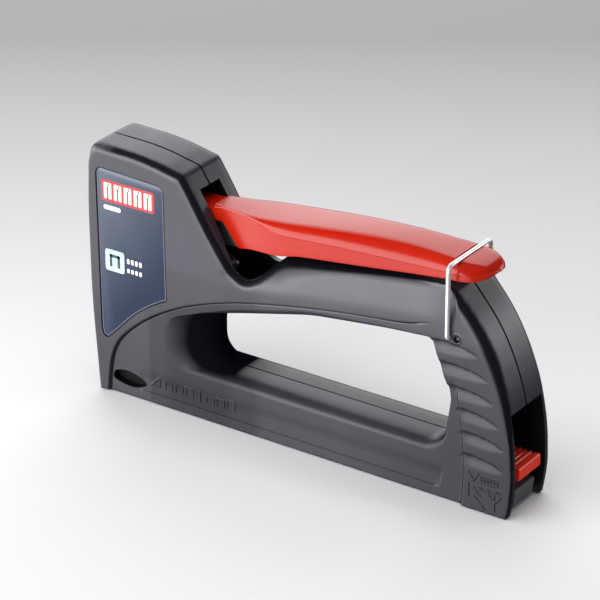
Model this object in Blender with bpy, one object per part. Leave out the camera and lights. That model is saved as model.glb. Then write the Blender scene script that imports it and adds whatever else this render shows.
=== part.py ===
"""Hand tacker: a staple gun with a squeeze lever, a wire lock and a magazine loaded from the rear.

Metres, +Z up, +X from the nose to the rear. The origin is the middle of the flat base.
Sizes below are in millimetres. Places along the body are measured from the nose's lower
front corner, which lies NOSE in front of the origin, so that at(x, y, z) gives the point in metres.
"""
import math

import bmesh
import bpy
import numpy as np
from mathutils import Matrix, Vector

MM = 0.001
NOSE = 83.0

# casing
HALF_THICKNESS = 12.0
SEAM = 0.15            # half of the gap between the two halves
WALL = 2.4
EDGE_RADIUS = 3.0
RECESS = 1.1           # the lower zone lies this much deeper than the head and the foot
CAVITY_Y = HALF_THICKNESS - WALL
GAP = 0.3              # between touching pieces

# lever, rocker and striker
LEVER_PIVOT = (24.0, 73.0)
ROCKER_PIVOT = (34.0, 60.0)
LEVER_OPEN = math.radians(15.0)
LEVER_REAR = (146.0, 155.65)  # where the lever's rear end begins to narrow, and its tip
LEVER_ARCH = [(46.0, 80.9), (54.0, 81.7), (64.0, 82.0), (74.0, 82.6), (89.0, 84.9), (102.0, 86.2),
              (113.0, 87.2), (124.0, 87.8), (134.0, 87.9), (144.0, 87.5), (150.0, 87.0), (156.0, 86.2)]
CAM_X = 48.0           # where the lever's foot presses on the rocker's roller
ROCKER_RATIO = (CAM_X - LEVER_PIVOT[0]) / (CAM_X - ROCKER_PIVOT[0])
ROCKER_ARM = 27.0
ROCKER_REST = ROCKER_RATIO * LEVER_OPEN / 2.0
TIP_RADIUS = 2.5
TIP_PLAY = 0.9
TIP_X = ROCKER_PIVOT[0] - ROCKER_ARM * math.cos(ROCKER_REST)
TIP_Z = ROCKER_PIVOT[1] + ROCKER_ARM * math.sin(ROCKER_REST)
ROLLER_RADIUS = 3.0
RIVET_X = (60.5, 82.0)   # cross pins between the lever's core and cover

# wire lock
BAIL_PIVOT = (144.5, 61.2)
BAIL_HEIGHT = 25.85
BAIL_HALF_WIDTH = 13.15
WIRE_RADIUS = 0.78

# magazine
CHANNEL_Y = 6.0        # inner half width of the steel channel
SHEET = 0.8
STAPLE_Y = 5.65        # outer half width of the staples
RAIL_Y = 4.75
STAPLE_Z = (1.2, 12.2)
STICK_X = (3.0, 53.0)
ROD_Z = 15.2
ROD_RADIUS = 1.2

# casing screws: place along the body and height
SCREWS = [(22.0, 89.9), (21.0, 22.2), (100.0, 63.5), (153.0, 44.0), (148.0, 66.8)]


# ---------------------------------------------------------------- outlines

def signed_area(outline):
    return 0.5 * sum(a[0] * b[1] - b[0] * a[1] for a, b in zip(outline, outline[1:] + outline[:1]))


def shrunk(corners, distance):
    """The corners moved inwards by distance, or outwards if it is negative, with radii to suit."""
    turn = 1.0 if signed_area([c[:2] for c in corners]) > 0.0 else -1.0
    moved = []
    for i, (x, z, radius, segments) in enumerate(corners):
        here = Vector((x, z))
        before = (here - Vector(corners[i - 1][:2])).normalized()
        after = (Vector(corners[(i + 1) % len(corners)][:2]) - here).normalized()
        normals = Vector((-before.y, before.x)) * turn, Vector((-after.y, after.x)) * turn
        here += (normals[0] + normals[1]) * distance / (1.0 + normals[0].dot(normals[1]))
        convex = before.cross(after) * turn > 0.0
        if radius > 0.0:
            radius = max(radius + (-distance if convex else distance), 0.05)
        moved.append((here.x, here.y, radius, segments))
    return moved


def rounded(corners, shrink=0.0):
    """An outline from corners (x, z, radius, segments): each corner becomes an arc."""
    corners = shrunk(corners, shrink)
    points = []
    for i, (x, z, radius, segments) in enumerate(corners):
        here = Vector((x, z))
        back = Vector(corners[i - 1][:2]) - here
        ahead = Vector(corners[(i + 1) % len(corners)][:2]) - here
        if radius == 0.0:
            points.append(here)
            continue
        half = back.angle(ahead) / 2.0
        reach = min(radius / math.tan(half), 0.48 * back.length, 0.48 * ahead.length)
        radius = reach * math.tan(half)
        middle = here + (back.normalized() + ahead.normalized()).normalized() * radius / math.sin(half)
        start = here + back.normalized() * reach - middle
        sweep = start.angle_signed(here + ahead.normalized() * reach - middle)
        for k in range(segments + 1):
            turn = Matrix.Rotation(-sweep * k / segments, 2)
            points.append(middle + turn @ start)
    return [(p.x, p.y) for p in points]


def circle(x, z, radius, sides):
    steps = (2.0 * math.pi * k / sides for k in range(sides))
    return [(x + radius * math.cos(a), z + radius * math.sin(a)) for a in steps]


def rectangle(u0, u1, v0, v1):
    return [(u0, v0), (u1, v0), (u1, v1), (u0, v1)]


# ---------------------------------------------------------------- solids

def at(x, y, z):
    return Vector(((x - NOSE) * MM, y * MM, z * MM))


def place_on_y(y, x, z):
    return at(x, y, z)


def place_on_x(x, y, z):
    return at(x, y, z)


def place_on_z(z, x, y):
    return at(x, y, z)


def new_object(name, bm):
    bmesh.ops.recalc_face_normals(bm, faces=bm.faces)
    if bm.calc_volume(signed=True) < 0.0:
        bmesh.ops.reverse_faces(bm, faces=bm.faces)
    mesh = bpy.data.meshes.new(name)
    bm.to_mesh(mesh)
    bm.free()
    obj = bpy.data.objects.new(name, mesh)
    bpy.context.scene.collection.objects.link(obj)
    return obj


def add_loft(bm, sections, place):
    """A closed body through sections (position, outline), all with the same number of points."""
    rings = [[bm.verts.new(place(s, u, v)) for u, v in outline] for s, outline in sections]
    for low, high in zip(rings, rings[1:]):
        for i in range(len(low)):
            j = (i + 1) % len(low)
            bm.faces.new((low[i], low[j], high[j], high[i]))
    bm.faces.new(rings[0])
    bm.faces.new(rings[-1])


def loft(name, sections, place=place_on_y):
    bm = bmesh.new()
    add_loft(bm, sections, place)
    return new_object(name, bm)


def plate(name, outline, y0, y1):
    return loft(name, [(y0, outline), (y1, outline)])


def box(name, x0, x1, y0, y1, z0, z1):
    return loft(name, [(z0, rectangle(x0, x1, y0, y1)), (z1, rectangle(x0, x1, y0, y1))], place_on_z)


def turned(name, x, z, profile, sides=16):
    """A piece turned about an axis along Y, from a profile of (y, radius)."""
    return loft(name, [(y, circle(x, z, radius, sides)) for y, radius in profile])


def wire(name, points, radius, sides=8):
    """A round bar along a path of points in metres, with flat ends."""
    bm = bmesh.new()
    side = Vector((0.0, 0.0, 1.0))
    rings = []
    for i, point in enumerate(points):
        before = (point - points[i - 1]).normalized() if i else Vector()
        after = (points[i + 1] - point).normalized() if i + 1 < len(points) else Vector()
        ahead = (before + after).normalized()
        if i == 0 and abs(ahead.dot(side)) > 0.9:
            side = Vector((1.0, 0.0, 0.0))
        side = (side - ahead * side.dot(ahead)).normalized()
        up = ahead.cross(side)
        turns = (2.0 * math.pi * k / sides for k in range(sides))
        spokes = [side * math.cos(a) + up * math.sin(a) for a in turns]
        rings.append([bm.verts.new(point + spoke * radius * MM) for spoke in spokes])
    for low, high in zip(rings, rings[1:]):
        for i in range(sides):
            j = (i + 1) % sides
            bm.faces.new((low[i], low[j], high[j], high[i]))
    bm.faces.new(rings[0])
    bm.faces.new(rings[-1])
    return new_object(name, bm)


def helix(centre, axis, side, radius, length, turns, steps=10):
    """Points along a coil that starts at centre and runs along axis."""
    up = axis.cross(side)
    count = int(turns * steps)
    points = []
    for k in range(count + 1):
        a = 2.0 * math.pi * k / steps
        ring = (side * math.cos(a) + up * math.sin(a)) * radius * MM
        points.append(centre + ring + axis * length * MM * k / count)
    return points


def boolean(obj, other, operation):
    step = obj.modifiers.new(operation.lower(), "BOOLEAN")
    step.operation = operation
    step.solver = "EXACT"
    step.object = other
    other.hide_render = True
    other.display_type = "WIRE"
    return obj


def cut(obj, cutter):
    return boolean(obj, cutter, "DIFFERENCE")


def join(obj, other):
    return boolean(obj, other, "UNION")


def bevel(obj, width, segments=1, angle=40.0):
    step = obj.modifiers.new("bevel", "BEVEL")
    step.width = width * MM
    step.segments = segments
    step.limit_method = "ANGLE"
    step.angle_limit = math.radians(angle)
    return obj


def finish(obj, colour, roughness, metallic=0.0, smooth=False):
    """Gives a piece its own material and its shading."""
    material = bpy.data.materials.new(obj.name)
    material.use_nodes = True
    shader = material.node_tree.nodes["Principled BSDF"]
    shader.inputs["Base Color"].default_value = (*colour, 1.0)
    shader.inputs["Roughness"].default_value = roughness
    shader.inputs["Metallic"].default_value = metallic
    obj.data.materials.clear()
    obj.data.materials.append(material)
    if smooth:
        obj.data.shade_smooth()
        obj.data.set_sharp_from_angle(angle=math.radians(35.0))
    return obj


def plastic(obj, smooth=False):
    return finish(obj, (0.045, 0.048, 0.053), 0.42, 0.0, smooth)


def steel(obj, smooth=False):
    return finish(obj, (0.62, 0.62, 0.60), 0.28, 1.0, smooth)


def red(obj, smooth=False):
    return finish(obj, (0.62, 0.02, 0.012), 0.22, 0.0, smooth)


# ---------------------------------------------------------------- casing

def casing_outline(shrink=0.0):
    """Side view of the casing at its seam."""
    return rounded([
        (-0.8, 0.0, 0.6, 2), (168.3, 0.0, 1.2, 2), (170.06, 11.0, 20.0, 3), (169.6, 26.0, 60.0, 2),
        (167.1, 42.0, 40.0, 3), (161.6, 56.5, 60.0, 3), (155.6, 66.6, 40.0, 2), (146.0, 77.5, 2.0, 2),
        (142.5, 79.4, 2.0, 2), (86.5, 72.1, 8.0, 2), (77.5, 69.6, 8.0, 3), (69.0, 61.2, 12.0, 2),
        (63.0, 57.8, 5.0, 3), (56.4, 61.3, 5.0, 3), (48.5, 72.0, 60.0, 2), (40.4, 85.2, 60.0, 2),
        (36.4, 91.3, 3.5, 3), (20.0, 94.5, 40.0, 3), (-3.0, 94.95, 4.0, 4), (-3.84, 70.0, 80.0, 2),
        (-3.4, 35.0, 80.0, 2),
    ], shrink)


def opening_outline(y, grow=0.0):
    """Outline of the hand opening at a distance y from the seam: it flares towards the faces."""
    s = abs(y) / HALF_THICKNESS
    left = 45.5 - 17.0 * s ** 3
    low = 19.8 - 3.6 * s ** 3
    rise = 2.2 * s ** 8
    return rounded([
        (left, low + 1.5 * s, 9.0, 4), (141.5 + rise, low, 7.0, 4), (144.9 + rise, 39.5, 14.0, 3),
        (138.8 + rise, 58.2 + rise, 8.0, 4), (88.3, 51.8 + rise, 90.0, 2), (60.0, 44.6 + rise, 70.0, 2),
        (left, 39.6 - 5.0 * s ** 3 + rise, 6.0, 3),
    ], -grow)


def lower_zone_outline():
    """The lower zone of the side, which lies RECESS deeper than the rest."""
    return rounded([
        (3.4, -2.0, 0.0, 0), (149.7, -2.0, 0.0, 0), (151.2, 15.0, 20.0, 2), (149.2, 33.0, 20.0, 2),
        (140.0, 45.0, 10.0, 2), (138.5, 62.0, 6.0, 2), (93.7, 57.3, 80.0, 2), (60.8, 50.6, 80.0, 2),
        (26.6, 37.2, 60.0, 2), (8.0, 21.4, 12.0, 2), (4.4, 14.0, 20.0, 2),
    ])


def label_outline(grow=0.0):
    return rounded([
        (1.3, 24.0, 1.0, 1), (3.4, 21.8, 1.0, 1), (9.0, 27.0, 8.0, 1), (18.0, 35.3, 30.0, 2),
        (29.6, 43.0, 1.6, 2), (29.0, 85.4, 2.6, 3), (0.3, 86.6, 2.6, 3),
    ], -grow)


def cavity_outline():
    """The hollow of the head, the handle and the rear column."""
    return rounded([
        (1.2, 14.35, 0.0, 0), (166.3, 14.35, 1.0, 2), (166.4, 26.0, 30.0, 2), (164.2, 41.0, 30.0, 2),
        (158.7, 55.0, 30.0, 2), (150.6, 66.8, 4.0, 2), (141.0, 64.6, 10.0, 2), (110.0, 61.3, 60.0, 2),
        (74.0, 56.2, 6.0, 2), (65.5, 54.6, 8.0, 2), (54.2, 59.4, 5.0, 2), (46.2, 71.2, 40.0, 1),
        (35.2, 88.8, 3.0, 2), (20.0, 92.0, 30.0, 1), (-0.5, 92.6, 2.0, 2), (-1.3, 66.0, 40.0, 1),
        (-0.9, 35.0, 30.0, 1),
    ])


def along(side, outline, y0, y1):
    """A plate's two sections on one side of the seam."""
    return [(side * y0, outline), (side * y1, outline)]


def casing_shell(side, name):
    """One half without its openings: the outer edge is rounded by insets that follow an arc."""
    sections = [(side * SEAM, casing_outline())]
    for k in range(4):
        a = math.radians(30.0 * k)
        y = HALF_THICKNESS - EDGE_RADIUS * (1.0 - math.sin(a))
        sections.append((side * y, casing_outline(EDGE_RADIUS * (1.0 - math.cos(a)))))
    return loft(name, sections)


def opening_cutter(side, tag):
    depths = [-0.5, 3.0, 6.0, 8.5, 10.0, 11.0, 11.6, 12.6]
    return loft("cut_opening_" + tag, [(side * y, opening_outline(max(y, 0.0))) for y in depths])


def cavity_cutter(side, tag):
    cutter = loft("cut_cavity_" + tag, along(side, cavity_outline(), -0.5, CAVITY_Y))
    wall = loft("keep_opening_" + tag, along(side, opening_outline(CAVITY_Y, WALL + 0.9), -1.0, 13.0))
    return cut(cutter, wall)


def magazine_cutter(side, tag):
    """The way for the magazine: channel, its flanges, the rod above it, the nose and the rear port."""
    cutter = box("cut_magazine_" + tag, 0.02, 152.0, *sorted((-0.6 * side, 7.12 * side)), -1.0, 13.05)
    blocks = [
        (10.0, 152.1, 3.3, 12.0, 17.35), (3.1, 150.6, 9.0, 12.15, 13.75), (0.01, 3.3, 7.62, -1.1, 31.2),
    ]
    for k, (x0, x1, y, z0, z1) in enumerate(blocks):
        part = box("cut_magazine_%d_%s" % (k, tag), x0, x1, *sorted((-0.7 * side, y * side)), z0, z1)
        join(cutter, part)
    port = rounded([(149.55, -1.2, 0.0, 0), (175.0, -1.2, 0.0, 0), (175.0, 38.0, 0.0, 0),
                    (155.0, 38.0, 3.0, 2), (149.55, 20.0, 8.0, 2)])
    return join(cutter, loft("cut_port_" + tag, along(side, port, -0.8, 9.7)))


def band_cutter(side, tag):
    """Slopes the handle's upper side inwards, up to the ridge under the lever."""
    def section(edge, ridge, width):
        return [(side * 12.02, edge), (side * 15.0, edge), (side * 15.0, ridge), (side * width, ridge)]
    stations = [(60.0, section(58.2, 74.0, 8.0)), (66.0, section(57.2, 74.0, 7.0)),
                (80.0, section(58.9, 76.0, 8.2)), (110.0, section(63.1, 80.0, 8.4)),
                (140.0, section(66.3, 83.0, 8.6)), (149.5, section(70.0, 84.0, 9.4))]
    return loft("cut_band_" + tag, stations, place_on_x)


def groove_cutter(side, tag):
    """Six tapered finger grooves on the rear column."""
    grooves = [(139.5, 57.0, 153.4, 57.9), (142.3, 49.7, 157.6, 50.0), (146.6, 41.7, 160.2, 42.0),
               (149.4, 34.3, 162.6, 34.1), (150.8, 26.2, 164.6, 26.2), (151.4, 18.1, 164.8, 18.2)]
    bm = bmesh.new()
    for x0, z0, x1, z1 in grooves:
        sections = [(x0, 4.0, z0, 1.9), (x0 + 2.5, 3.9, z0, 2.9),
                    ((x0 + x1) / 2.0, 3.9, (z0 + z1) / 2.0, 2.7), (x1, 4.0, z1, 1.3)]
        rings = []
        for x, centre, z, radius in sections:
            # the wide flat ellipse dips 0.8 into the face
            ellipse = [(side * (11.2 + centre - centre * math.cos(a)), z + radius * math.sin(a))
                       for a in (2.0 * math.pi * (k + 0.5) / 12 for k in range(12))]
            rings.append((x, ellipse))
        add_loft(bm, rings, place_on_x)
    return new_object("cut_grooves_" + tag, bm)


def lever_slot_cutter(side, tag):
    """The slot in the sloping back of the head, which widens into a pocket at the saddle."""
    stations = [(37.4, 5.7, 67.0), (47.0, 5.7, 63.0), (56.0, 9.1, 57.4), (63.5, 9.0, 55.4), (67.5, 6.5, 55.6)]
    sections = [(x, rectangle(-0.9 * side, w * side, low, 85.4)) for x, w, low in stations]
    return loft("cut_lever_slot_" + tag, sections, place_on_x)


def window_cutter(side, tag):
    outline = rounded([(4.6, 5.0, 1.5, 2), (8.5, 4.0, 1.5, 2), (13.5, 3.7, 1.5, 2), (19.9, 6.0, 0.8, 2),
                       (14.0, 9.6, 4.0, 2), (7.5, 9.7, 1.5, 2)])
    return loft("cut_window_" + tag, along(side, outline, 6.5, 13.0))


def pin_sockets():
    """Ring bosses for the two mechanism pins: x, z, outer radius, hole radius, first y."""
    return [(*LEVER_PIVOT, 4.0, 2.5, 8.0), (*ROCKER_PIVOT, 3.8, 2.3, 6.0)]


def add_bosses(half, side, tag):
    for k, (x, z) in enumerate(SCREWS):
        join(half, turned("boss_%d_%s" % (k, tag), x, z, [(side * 0.5, 3.3), (side * 10.6, 3.3)], 14))
    for k, (x, z, radius, _, y) in enumerate(pin_sockets()):
        join(half, turned("socket_%d_%s" % (k, tag), x, z, [(side * y, radius), (side * 10.6, radius)], 14))
    # shelf under the rubber buffer
    join(half, box("shelf_" + tag, 3.4, 14.0, *sorted((side * 2.5, side * 10.4)), 23.0, 25.4))


def cut_holes(half, side, tag):
    """Pin sockets, the bail's pivot hole and the screw holes, which open on the far side only."""
    for k, (x, z, _, hole, y) in enumerate(pin_sockets()):
        cut(half, turned("hole_%d_%s" % (k, tag), x, z, [(side * (y - 1.0), hole), (side * 9.5, hole)], 14))
    pivot = [(side * 8.5, WIRE_RADIUS + 0.32), (side * 13.0, WIRE_RADIUS + 0.32)]
    cut(half, turned("hole_bail_" + tag, *BAIL_PIVOT, pivot, 12))
    for k, (x, z) in enumerate(SCREWS):
        if side > 0:
            steps = [(-0.5, 1.7), (9.2, 1.7), (9.2, 3.0), (13.0, 3.0)]
        else:
            steps = [(0.5, 1.6), (-8.4, 1.6)]
        cut(half, turned("hole_screw_%d_%s" % (k, tag), x, z, steps, 12))


def casing_half(side, name):
    tag = name.split("_")[1]
    half = casing_shell(side, name)
    cut(half, opening_cutter(side, tag))
    cut(half, loft("cut_lower_zone_" + tag, along(side, lower_zone_outline(), HALF_THICKNESS - RECESS, 14.0)))
    cut(half, band_cutter(side, tag))
    cut(half, groove_cutter(side, tag))
    cut(half, cavity_cutter(side, tag))
    add_bosses(half, side, tag)
    cut(half, magazine_cutter(side, tag))
    cut(half, lever_slot_cutter(side, tag))
    cut(half, window_cutter(side, tag))
    cut(half, loft("cut_label_" + tag, along(side, label_outline(GAP), 11.05, 13.0)))
    cut_holes(half, side, tag)
    return plastic(half)


def label(side, name):
    piece = plate(name, label_outline(), side * 11.35, side * 11.8)
    return finish(piece, (0.030, 0.042, 0.075), 0.20)


# ---------------------------------------------------------------- lever

def lever_half_width(x):
    """5.2 in the slot of the head, flaring to 10.2 over the handle."""
    t = min(max((x - 46.0) / 20.0, 0.0), 1.0)
    return 5.2 + 5.0 * t * t * (3.0 - 2.0 * t)


def lever_end(x):
    """0 over the handle, growing to 1 at the tip of the rounded rear end."""
    return min(max((x - LEVER_REAR[0]) / (LEVER_REAR[1] - LEVER_REAR[0]), 0.0), 1.0)


def lever_top(x):
    """The top line: an arch, highest over the middle of the handle, rounded down at the rear end."""
    xs, zs = zip(*LEVER_ARCH)
    return float(np.interp(x, xs, zs)) - 1.6 * lever_end(x) ** 6


def lever_bottom(x):
    """Edge of the skirt: it drops from the slot to the saddle, then rises along the handle."""
    if x < 56.4:
        return 79.4 - (x - 45.8) * 1.094
    if x < 84.0:
        return 67.8 + (x - 56.4) * 0.2085
    return 73.55 + (x - 84.0) * 0.121 + 2.0 * lever_end(x) ** 6


def lever_section(x, width, low, top, radius):
    """Half round shoulders over straight sides."""
    outline = [(-width, low), (width, low)]
    for k in range(4):
        a = math.radians(30.0 * k)
        outline.append((width - radius + radius * math.cos(a), top - radius + radius * math.sin(a)))
    for k in range(4):
        a = math.radians(90.0 + 30.0 * k)
        outline.append((-width + radius + radius * math.cos(a), top - radius + radius * math.sin(a)))
    return (x, outline)


def lever_body():
    """The red cover: a hollow bar, open below, with two cheeks that reach into the head."""
    stations = [45.8, 49.0, 52.5, 56.4, 60.0, 65.0, 74.0, 89.0, 102.0, 113.0, 124.0, 134.0, 144.0, 147.5,
                150.4, 152.6, 154.2, 155.2, 155.6]
    sections = []
    for x in stations:
        width = lever_half_width(x) * math.sqrt(1.0 - lever_end(x) ** 2)
        low, top = lever_bottom(x), lever_top(x)
        sections.append(lever_section(x, width, low, top, min(2.8, width - 0.2, 0.7 * (top - low))))
    body = loft("lever", sections, place_on_x)
    hollow = []
    for x in [50.0, 53.0, 56.4, 60.0, 65.0, 74.0, 89.0, 102.0, 113.0, 124.0, 144.0, 150.6]:
        width = (lever_half_width(x) - 2.1) * math.sqrt(1.0 - 1.3 * lever_end(x) ** 2)
        low = lever_bottom(x) - 3.0
        hollow.append(lever_section(x, width, low, lever_top(x) - 2.4, min(3.2, width - 0.4)))
    cut(body, loft("cut_lever_hollow", hollow, place_on_x))
    return body


def lever_cheeks(body):
    """The neck inside the head, with its round boss on the pivot pin."""
    px, pz = LEVER_PIVOT
    neck = rounded([(px - 6.2, pz - 6.2, 6.1, 5), (px + 6.2, pz - 6.2, 5.0, 4), (px + 9.0, 70.6, 6.0, 2),
                    (46.0, 75.2, 6.0, 2), (52.0, 75.6, 0.0, 0), (52.0, 80.0, 0.0, 0),
                    (px + 6.0, 79.15, 30.0, 2), (px - 6.2, pz + 6.2, 6.1, 5)])
    join(body, plate("neck", neck, -5.2, 5.2))
    slot = [(px - 9.0, 60.0), (54.0, 60.0), (54.0, 77.6), (px - 9.0, 77.0)]
    cut(body, plate("cut_neck", slot, -2.9, 2.9))
    cut(body, turned("cut_lever_bore", px, pz, [(-6.0, 2.5), (6.0, 2.5)], 16))


def lever():
    body = lever_body()
    lever_cheeks(body)
    rest = rounded([(142.7, 86.0, 0.6, 2), (145.7, 86.0, 0.6, 2), (145.9, 90.0, 0.0, 0),
                    (142.5, 90.0, 0.0, 0)])
    cut(body, plate("cut_bail_rest", rest, -11.0, 11.0))
    return red(body)


def lever_arm():
    """Steel core of the lever: it turns on the pin, and its foot presses on the rocker's roller."""
    px, pz = LEVER_PIVOT
    foot = ROCKER_PIVOT[1] + 1.2 + ROLLER_RADIUS + 0.75
    outline = rounded([
        (px - 5.4, pz - 5.4, 5.3, 5), (px + 6.0, pz - 5.0, 4.0, 3), (40.0, 69.0, 5.0, 2),
        (42.5, foot, 1.5, 2), (53.5, foot + 1.1, 1.5, 2), (58.0, 72.5, 3.0, 2), (88.0, 76.2, 2.0, 2),
        (88.0, 79.8, 2.0, 2), (56.0, 77.0, 5.0, 2), (px + 5.4, 76.4, 6.0, 2), (px - 5.4, pz + 3.6, 3.5, 3),
    ])
    arm = plate("lever_arm", outline, -2.5, 2.5)
    cut(arm, turned("cut_arm_bore", px, pz, [(-6.1, 2.45), (6.1, 2.45)], 16))
    for k, x in enumerate(RIVET_X):
        cut(arm, turned("cut_rivet_%d" % k, x, rivet_z(x), [(-4.0, 1.6), (4.0, 1.6)], 12))
    return steel(arm)


def rivet_z(x):
    return 74.6 + (x - 60.5) * 0.125


def lever_rivet(name, x):
    """Cross pin that holds the steel core in the red cover, between its side walls."""
    reach = lever_half_width(x) - 2.1 - 2.0 * GAP
    return steel(turned(name, x, rivet_z(x), [(-reach, 1.25), (reach, 1.25)], 12), smooth=True)


# ---------------------------------------------------------------- rocker and striker

def turn_about(point, centre, angle):
    """Turns a point of the side view about centre, the rear end going up."""
    dx, dz = point[0] - centre[0], point[1] - centre[1]
    c, s = math.cos(angle), math.sin(angle)
    return (centre[0] + dx * c - dz * s, centre[1] + dx * s + dz * c)


def rocker():
    """Two armed lever: the roller end is pressed down and the tip lifts the striker."""
    x, z = ROCKER_PIVOT
    flat = rounded([
        (x - ROCKER_ARM - 2.5, z - 2.5, 2.4, 4), (x - ROCKER_ARM + 3.0, z - 1.5, 3.0, 2),
        (x - 9.0, z - 3.6, 6.0, 2), (x, z - 6.0, 5.0, 3), (x + 6.0, z - 5.4, 4.0, 3),
        (x + 7.2, z - 1.9, 3.0, 2), (x + 17.0, z - 1.9, 1.6, 3), (x + 17.0, z + 1.9, 1.6, 3),
        (x + 7.5, z + 3.6, 3.0, 2), (x + 3.5, z + 4.6, 4.0, 2), (x - 9.0, z + 3.6, 6.0, 2),
        (x - ROCKER_ARM + 3.0, z + 1.5, 3.0, 2), (x - ROCKER_ARM - 2.5, z + 2.5, 2.4, 4),
    ])
    body = plate("rocker", [turn_about(p, ROCKER_PIVOT, -ROCKER_REST) for p in flat], -2.2, 2.2)
    join(body, turned("rocker_hub", x, z, [(-5.2, 4.2), (5.2, 4.2)], 16))
    cut(body, turned("cut_rocker_bore", x, z, [(-7.0, 2.25), (7.0, 2.25)], 16))
    fork = turn_about((x + 14.0, z), ROCKER_PIVOT, -ROCKER_REST)
    cut(body, turned("cut_roller_seat", *fork, [(-3.0, 1.3), (3.0, 1.3)], 12))
    room = ROLLER_RADIUS + 0.35
    cut(body, turned("cut_roller_gap", *fork, [(-1.45, room), (1.45, room)], 16))
    return steel(body)


def rocker_roller():
    x, z = turn_about((CAM_X, ROCKER_PIVOT[1]), ROCKER_PIVOT, -ROCKER_REST)
    profile = [(-2.2, 1.0), (-1.1, 1.0), (-1.1, ROLLER_RADIUS), (1.1, ROLLER_RADIUS), (1.1, 1.0), (2.2, 1.0)]
    return steel(turned("rocker_roller", x, z, profile, 16), smooth=True)


def plunger():
    """Striker block: the blade is riveted to its front, and the rocker's tip sits in its rear slot."""
    outline = [(2.9, 44.0), (12.2, 44.0), (12.2, 72.3), (2.9, 72.3)]
    body = bevel(plate("plunger", outline, -5.9, 5.9), 0.6)
    low, high = TIP_Z - TIP_RADIUS - TIP_PLAY, TIP_Z + TIP_RADIUS + TIP_PLAY
    cut(body, box("cut_tip_slot", TIP_X - TIP_RADIUS - 1.1, 14.0, -2.8, 2.8, low, high))
    cut(body, turned_x("cut_blade_rivet", 0.0, 50.5, [(2.0, 1.5), (7.0, 1.5)]))
    return steel(body)


def turned_x(name, y, z, profile, sides=12):
    """A piece turned about an axis along X, from a profile of (x, radius)."""
    return loft(name, [(x, circle(y, z, radius, sides)) for x, radius in profile], place_on_x)


def driver_blade():
    outline = [(-5.6, STAPLE_Z[1] + 0.7), (5.6, STAPLE_Z[1] + 0.7), (5.6, 60.0), (-5.6, 60.0)]
    blade = loft("driver_blade", [(1.4, outline), (2.6, outline)], place_on_x)
    cut(blade, turned_x("cut_blade_hole", 0.0, 50.5, [(1.0, 1.5), (3.0, 1.5)]))
    return steel(blade)


def blade_rivet():
    return steel(turned_x("blade_rivet", 0.0, 50.5, [(1.5, 1.2), (6.6, 1.2)]), smooth=True)


def main_spring():
    low, high = 72.3 + GAP + 0.85, 90.4 - GAP - 0.85
    points = helix(at(7.4, 0.0, low), Vector((0, 0, 1)), Vector((1, 0, 0)), 4.2, high - low, 6.5)
    return steel(wire("main_spring", points, 0.8, 6), smooth=True)


def striker_guide():
    """Sheet steel channel in which the striker runs."""
    outline = [(-0.2, -7.5), (13.5, -7.5), (13.5, -6.5), (0.7, -6.5), (0.7, 6.5), (13.5, 6.5),
               (13.5, 7.5), (-0.2, 7.5)]
    return steel(loft("striker_guide", [(31.6, outline), (88.0, outline)], place_on_z))


def nose_plate():
    outline = rectangle(0.32, 1.1, -7.3, 7.3)
    return steel(loft("nose_plate", [(0.3, outline), (30.6, outline)], place_on_z))


# ---------------------------------------------------------------- wire lock

def lock_bail():
    """Bent wire: two legs on the casing's sides, joined by a bar that rests on the lever."""
    x, z = BAIL_PIVOT
    top, bend = z + BAIL_HEIGHT, 2.2
    half = [(9.2, z), (BAIL_HALF_WIDTH - 1.0, z)]
    corners = [((BAIL_HALF_WIDTH - 1.0, z + 1.0), 1.0, -90.0),
               ((BAIL_HALF_WIDTH - bend, top - bend), bend, 0.0)]
    for (cy, cz), radius, start in corners:
        for k in range(4):
            a = math.radians(start + 30.0 * k)
            half.append((cy + radius * math.cos(a), cz + radius * math.sin(a)))
    path = [at(x, y, h) for y, h in half] + [at(x, -y, h) for y, h in reversed(half)]
    path = [p for i, p in enumerate(path) if i == 0 or (p - path[i - 1]).length > 0.05 * MM]
    return finish(wire("lock_bail", path, WIRE_RADIUS, 8), (0.78, 0.78, 0.77), 0.14, 1.0, True)


# ---------------------------------------------------------------- magazine

def u_section(half, low, high, thickness):
    """An upside down U, open below."""
    return [(-half, low), (-half + thickness, low), (-half + thickness, high - thickness),
            (half - thickness, high - thickness), (half - thickness, low), (half, low), (half, high),
            (-half, high)]


def magazine_channel():
    """Steel channel of the staple track, with flanges that hold it in the casing."""
    inner, outer, flange = CHANNEL_Y, CHANNEL_Y + SHEET, 8.6
    low, top = 0.15, 13.35
    outline = [(-outer, low), (outer, low), (outer, top - SHEET), (flange, top - SHEET), (flange, top),
               (inner, top), (inner, 0.9), (-inner, 0.9), (-inner, top), (-flange, top),
               (-flange, top - SHEET), (-outer, top - SHEET)]
    return steel(loft("magazine_channel", [(3.5, outline), (149.4, outline)], place_on_x))


def staple_rail():
    outline = u_section(RAIL_Y, STAPLE_Z[0], 11.25, SHEET)
    return steel(loft("staple_rail", [(3.5, outline), (147.5, outline)], place_on_x))


def staple_stick():
    outline = u_section(STAPLE_Y, *STAPLE_Z, 0.6)
    stick = loft("staple_stick", [(x, outline) for x in STICK_X], place_on_x)
    return finish(stick, (0.68, 0.66, 0.60), 0.35, 1.0)


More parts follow.
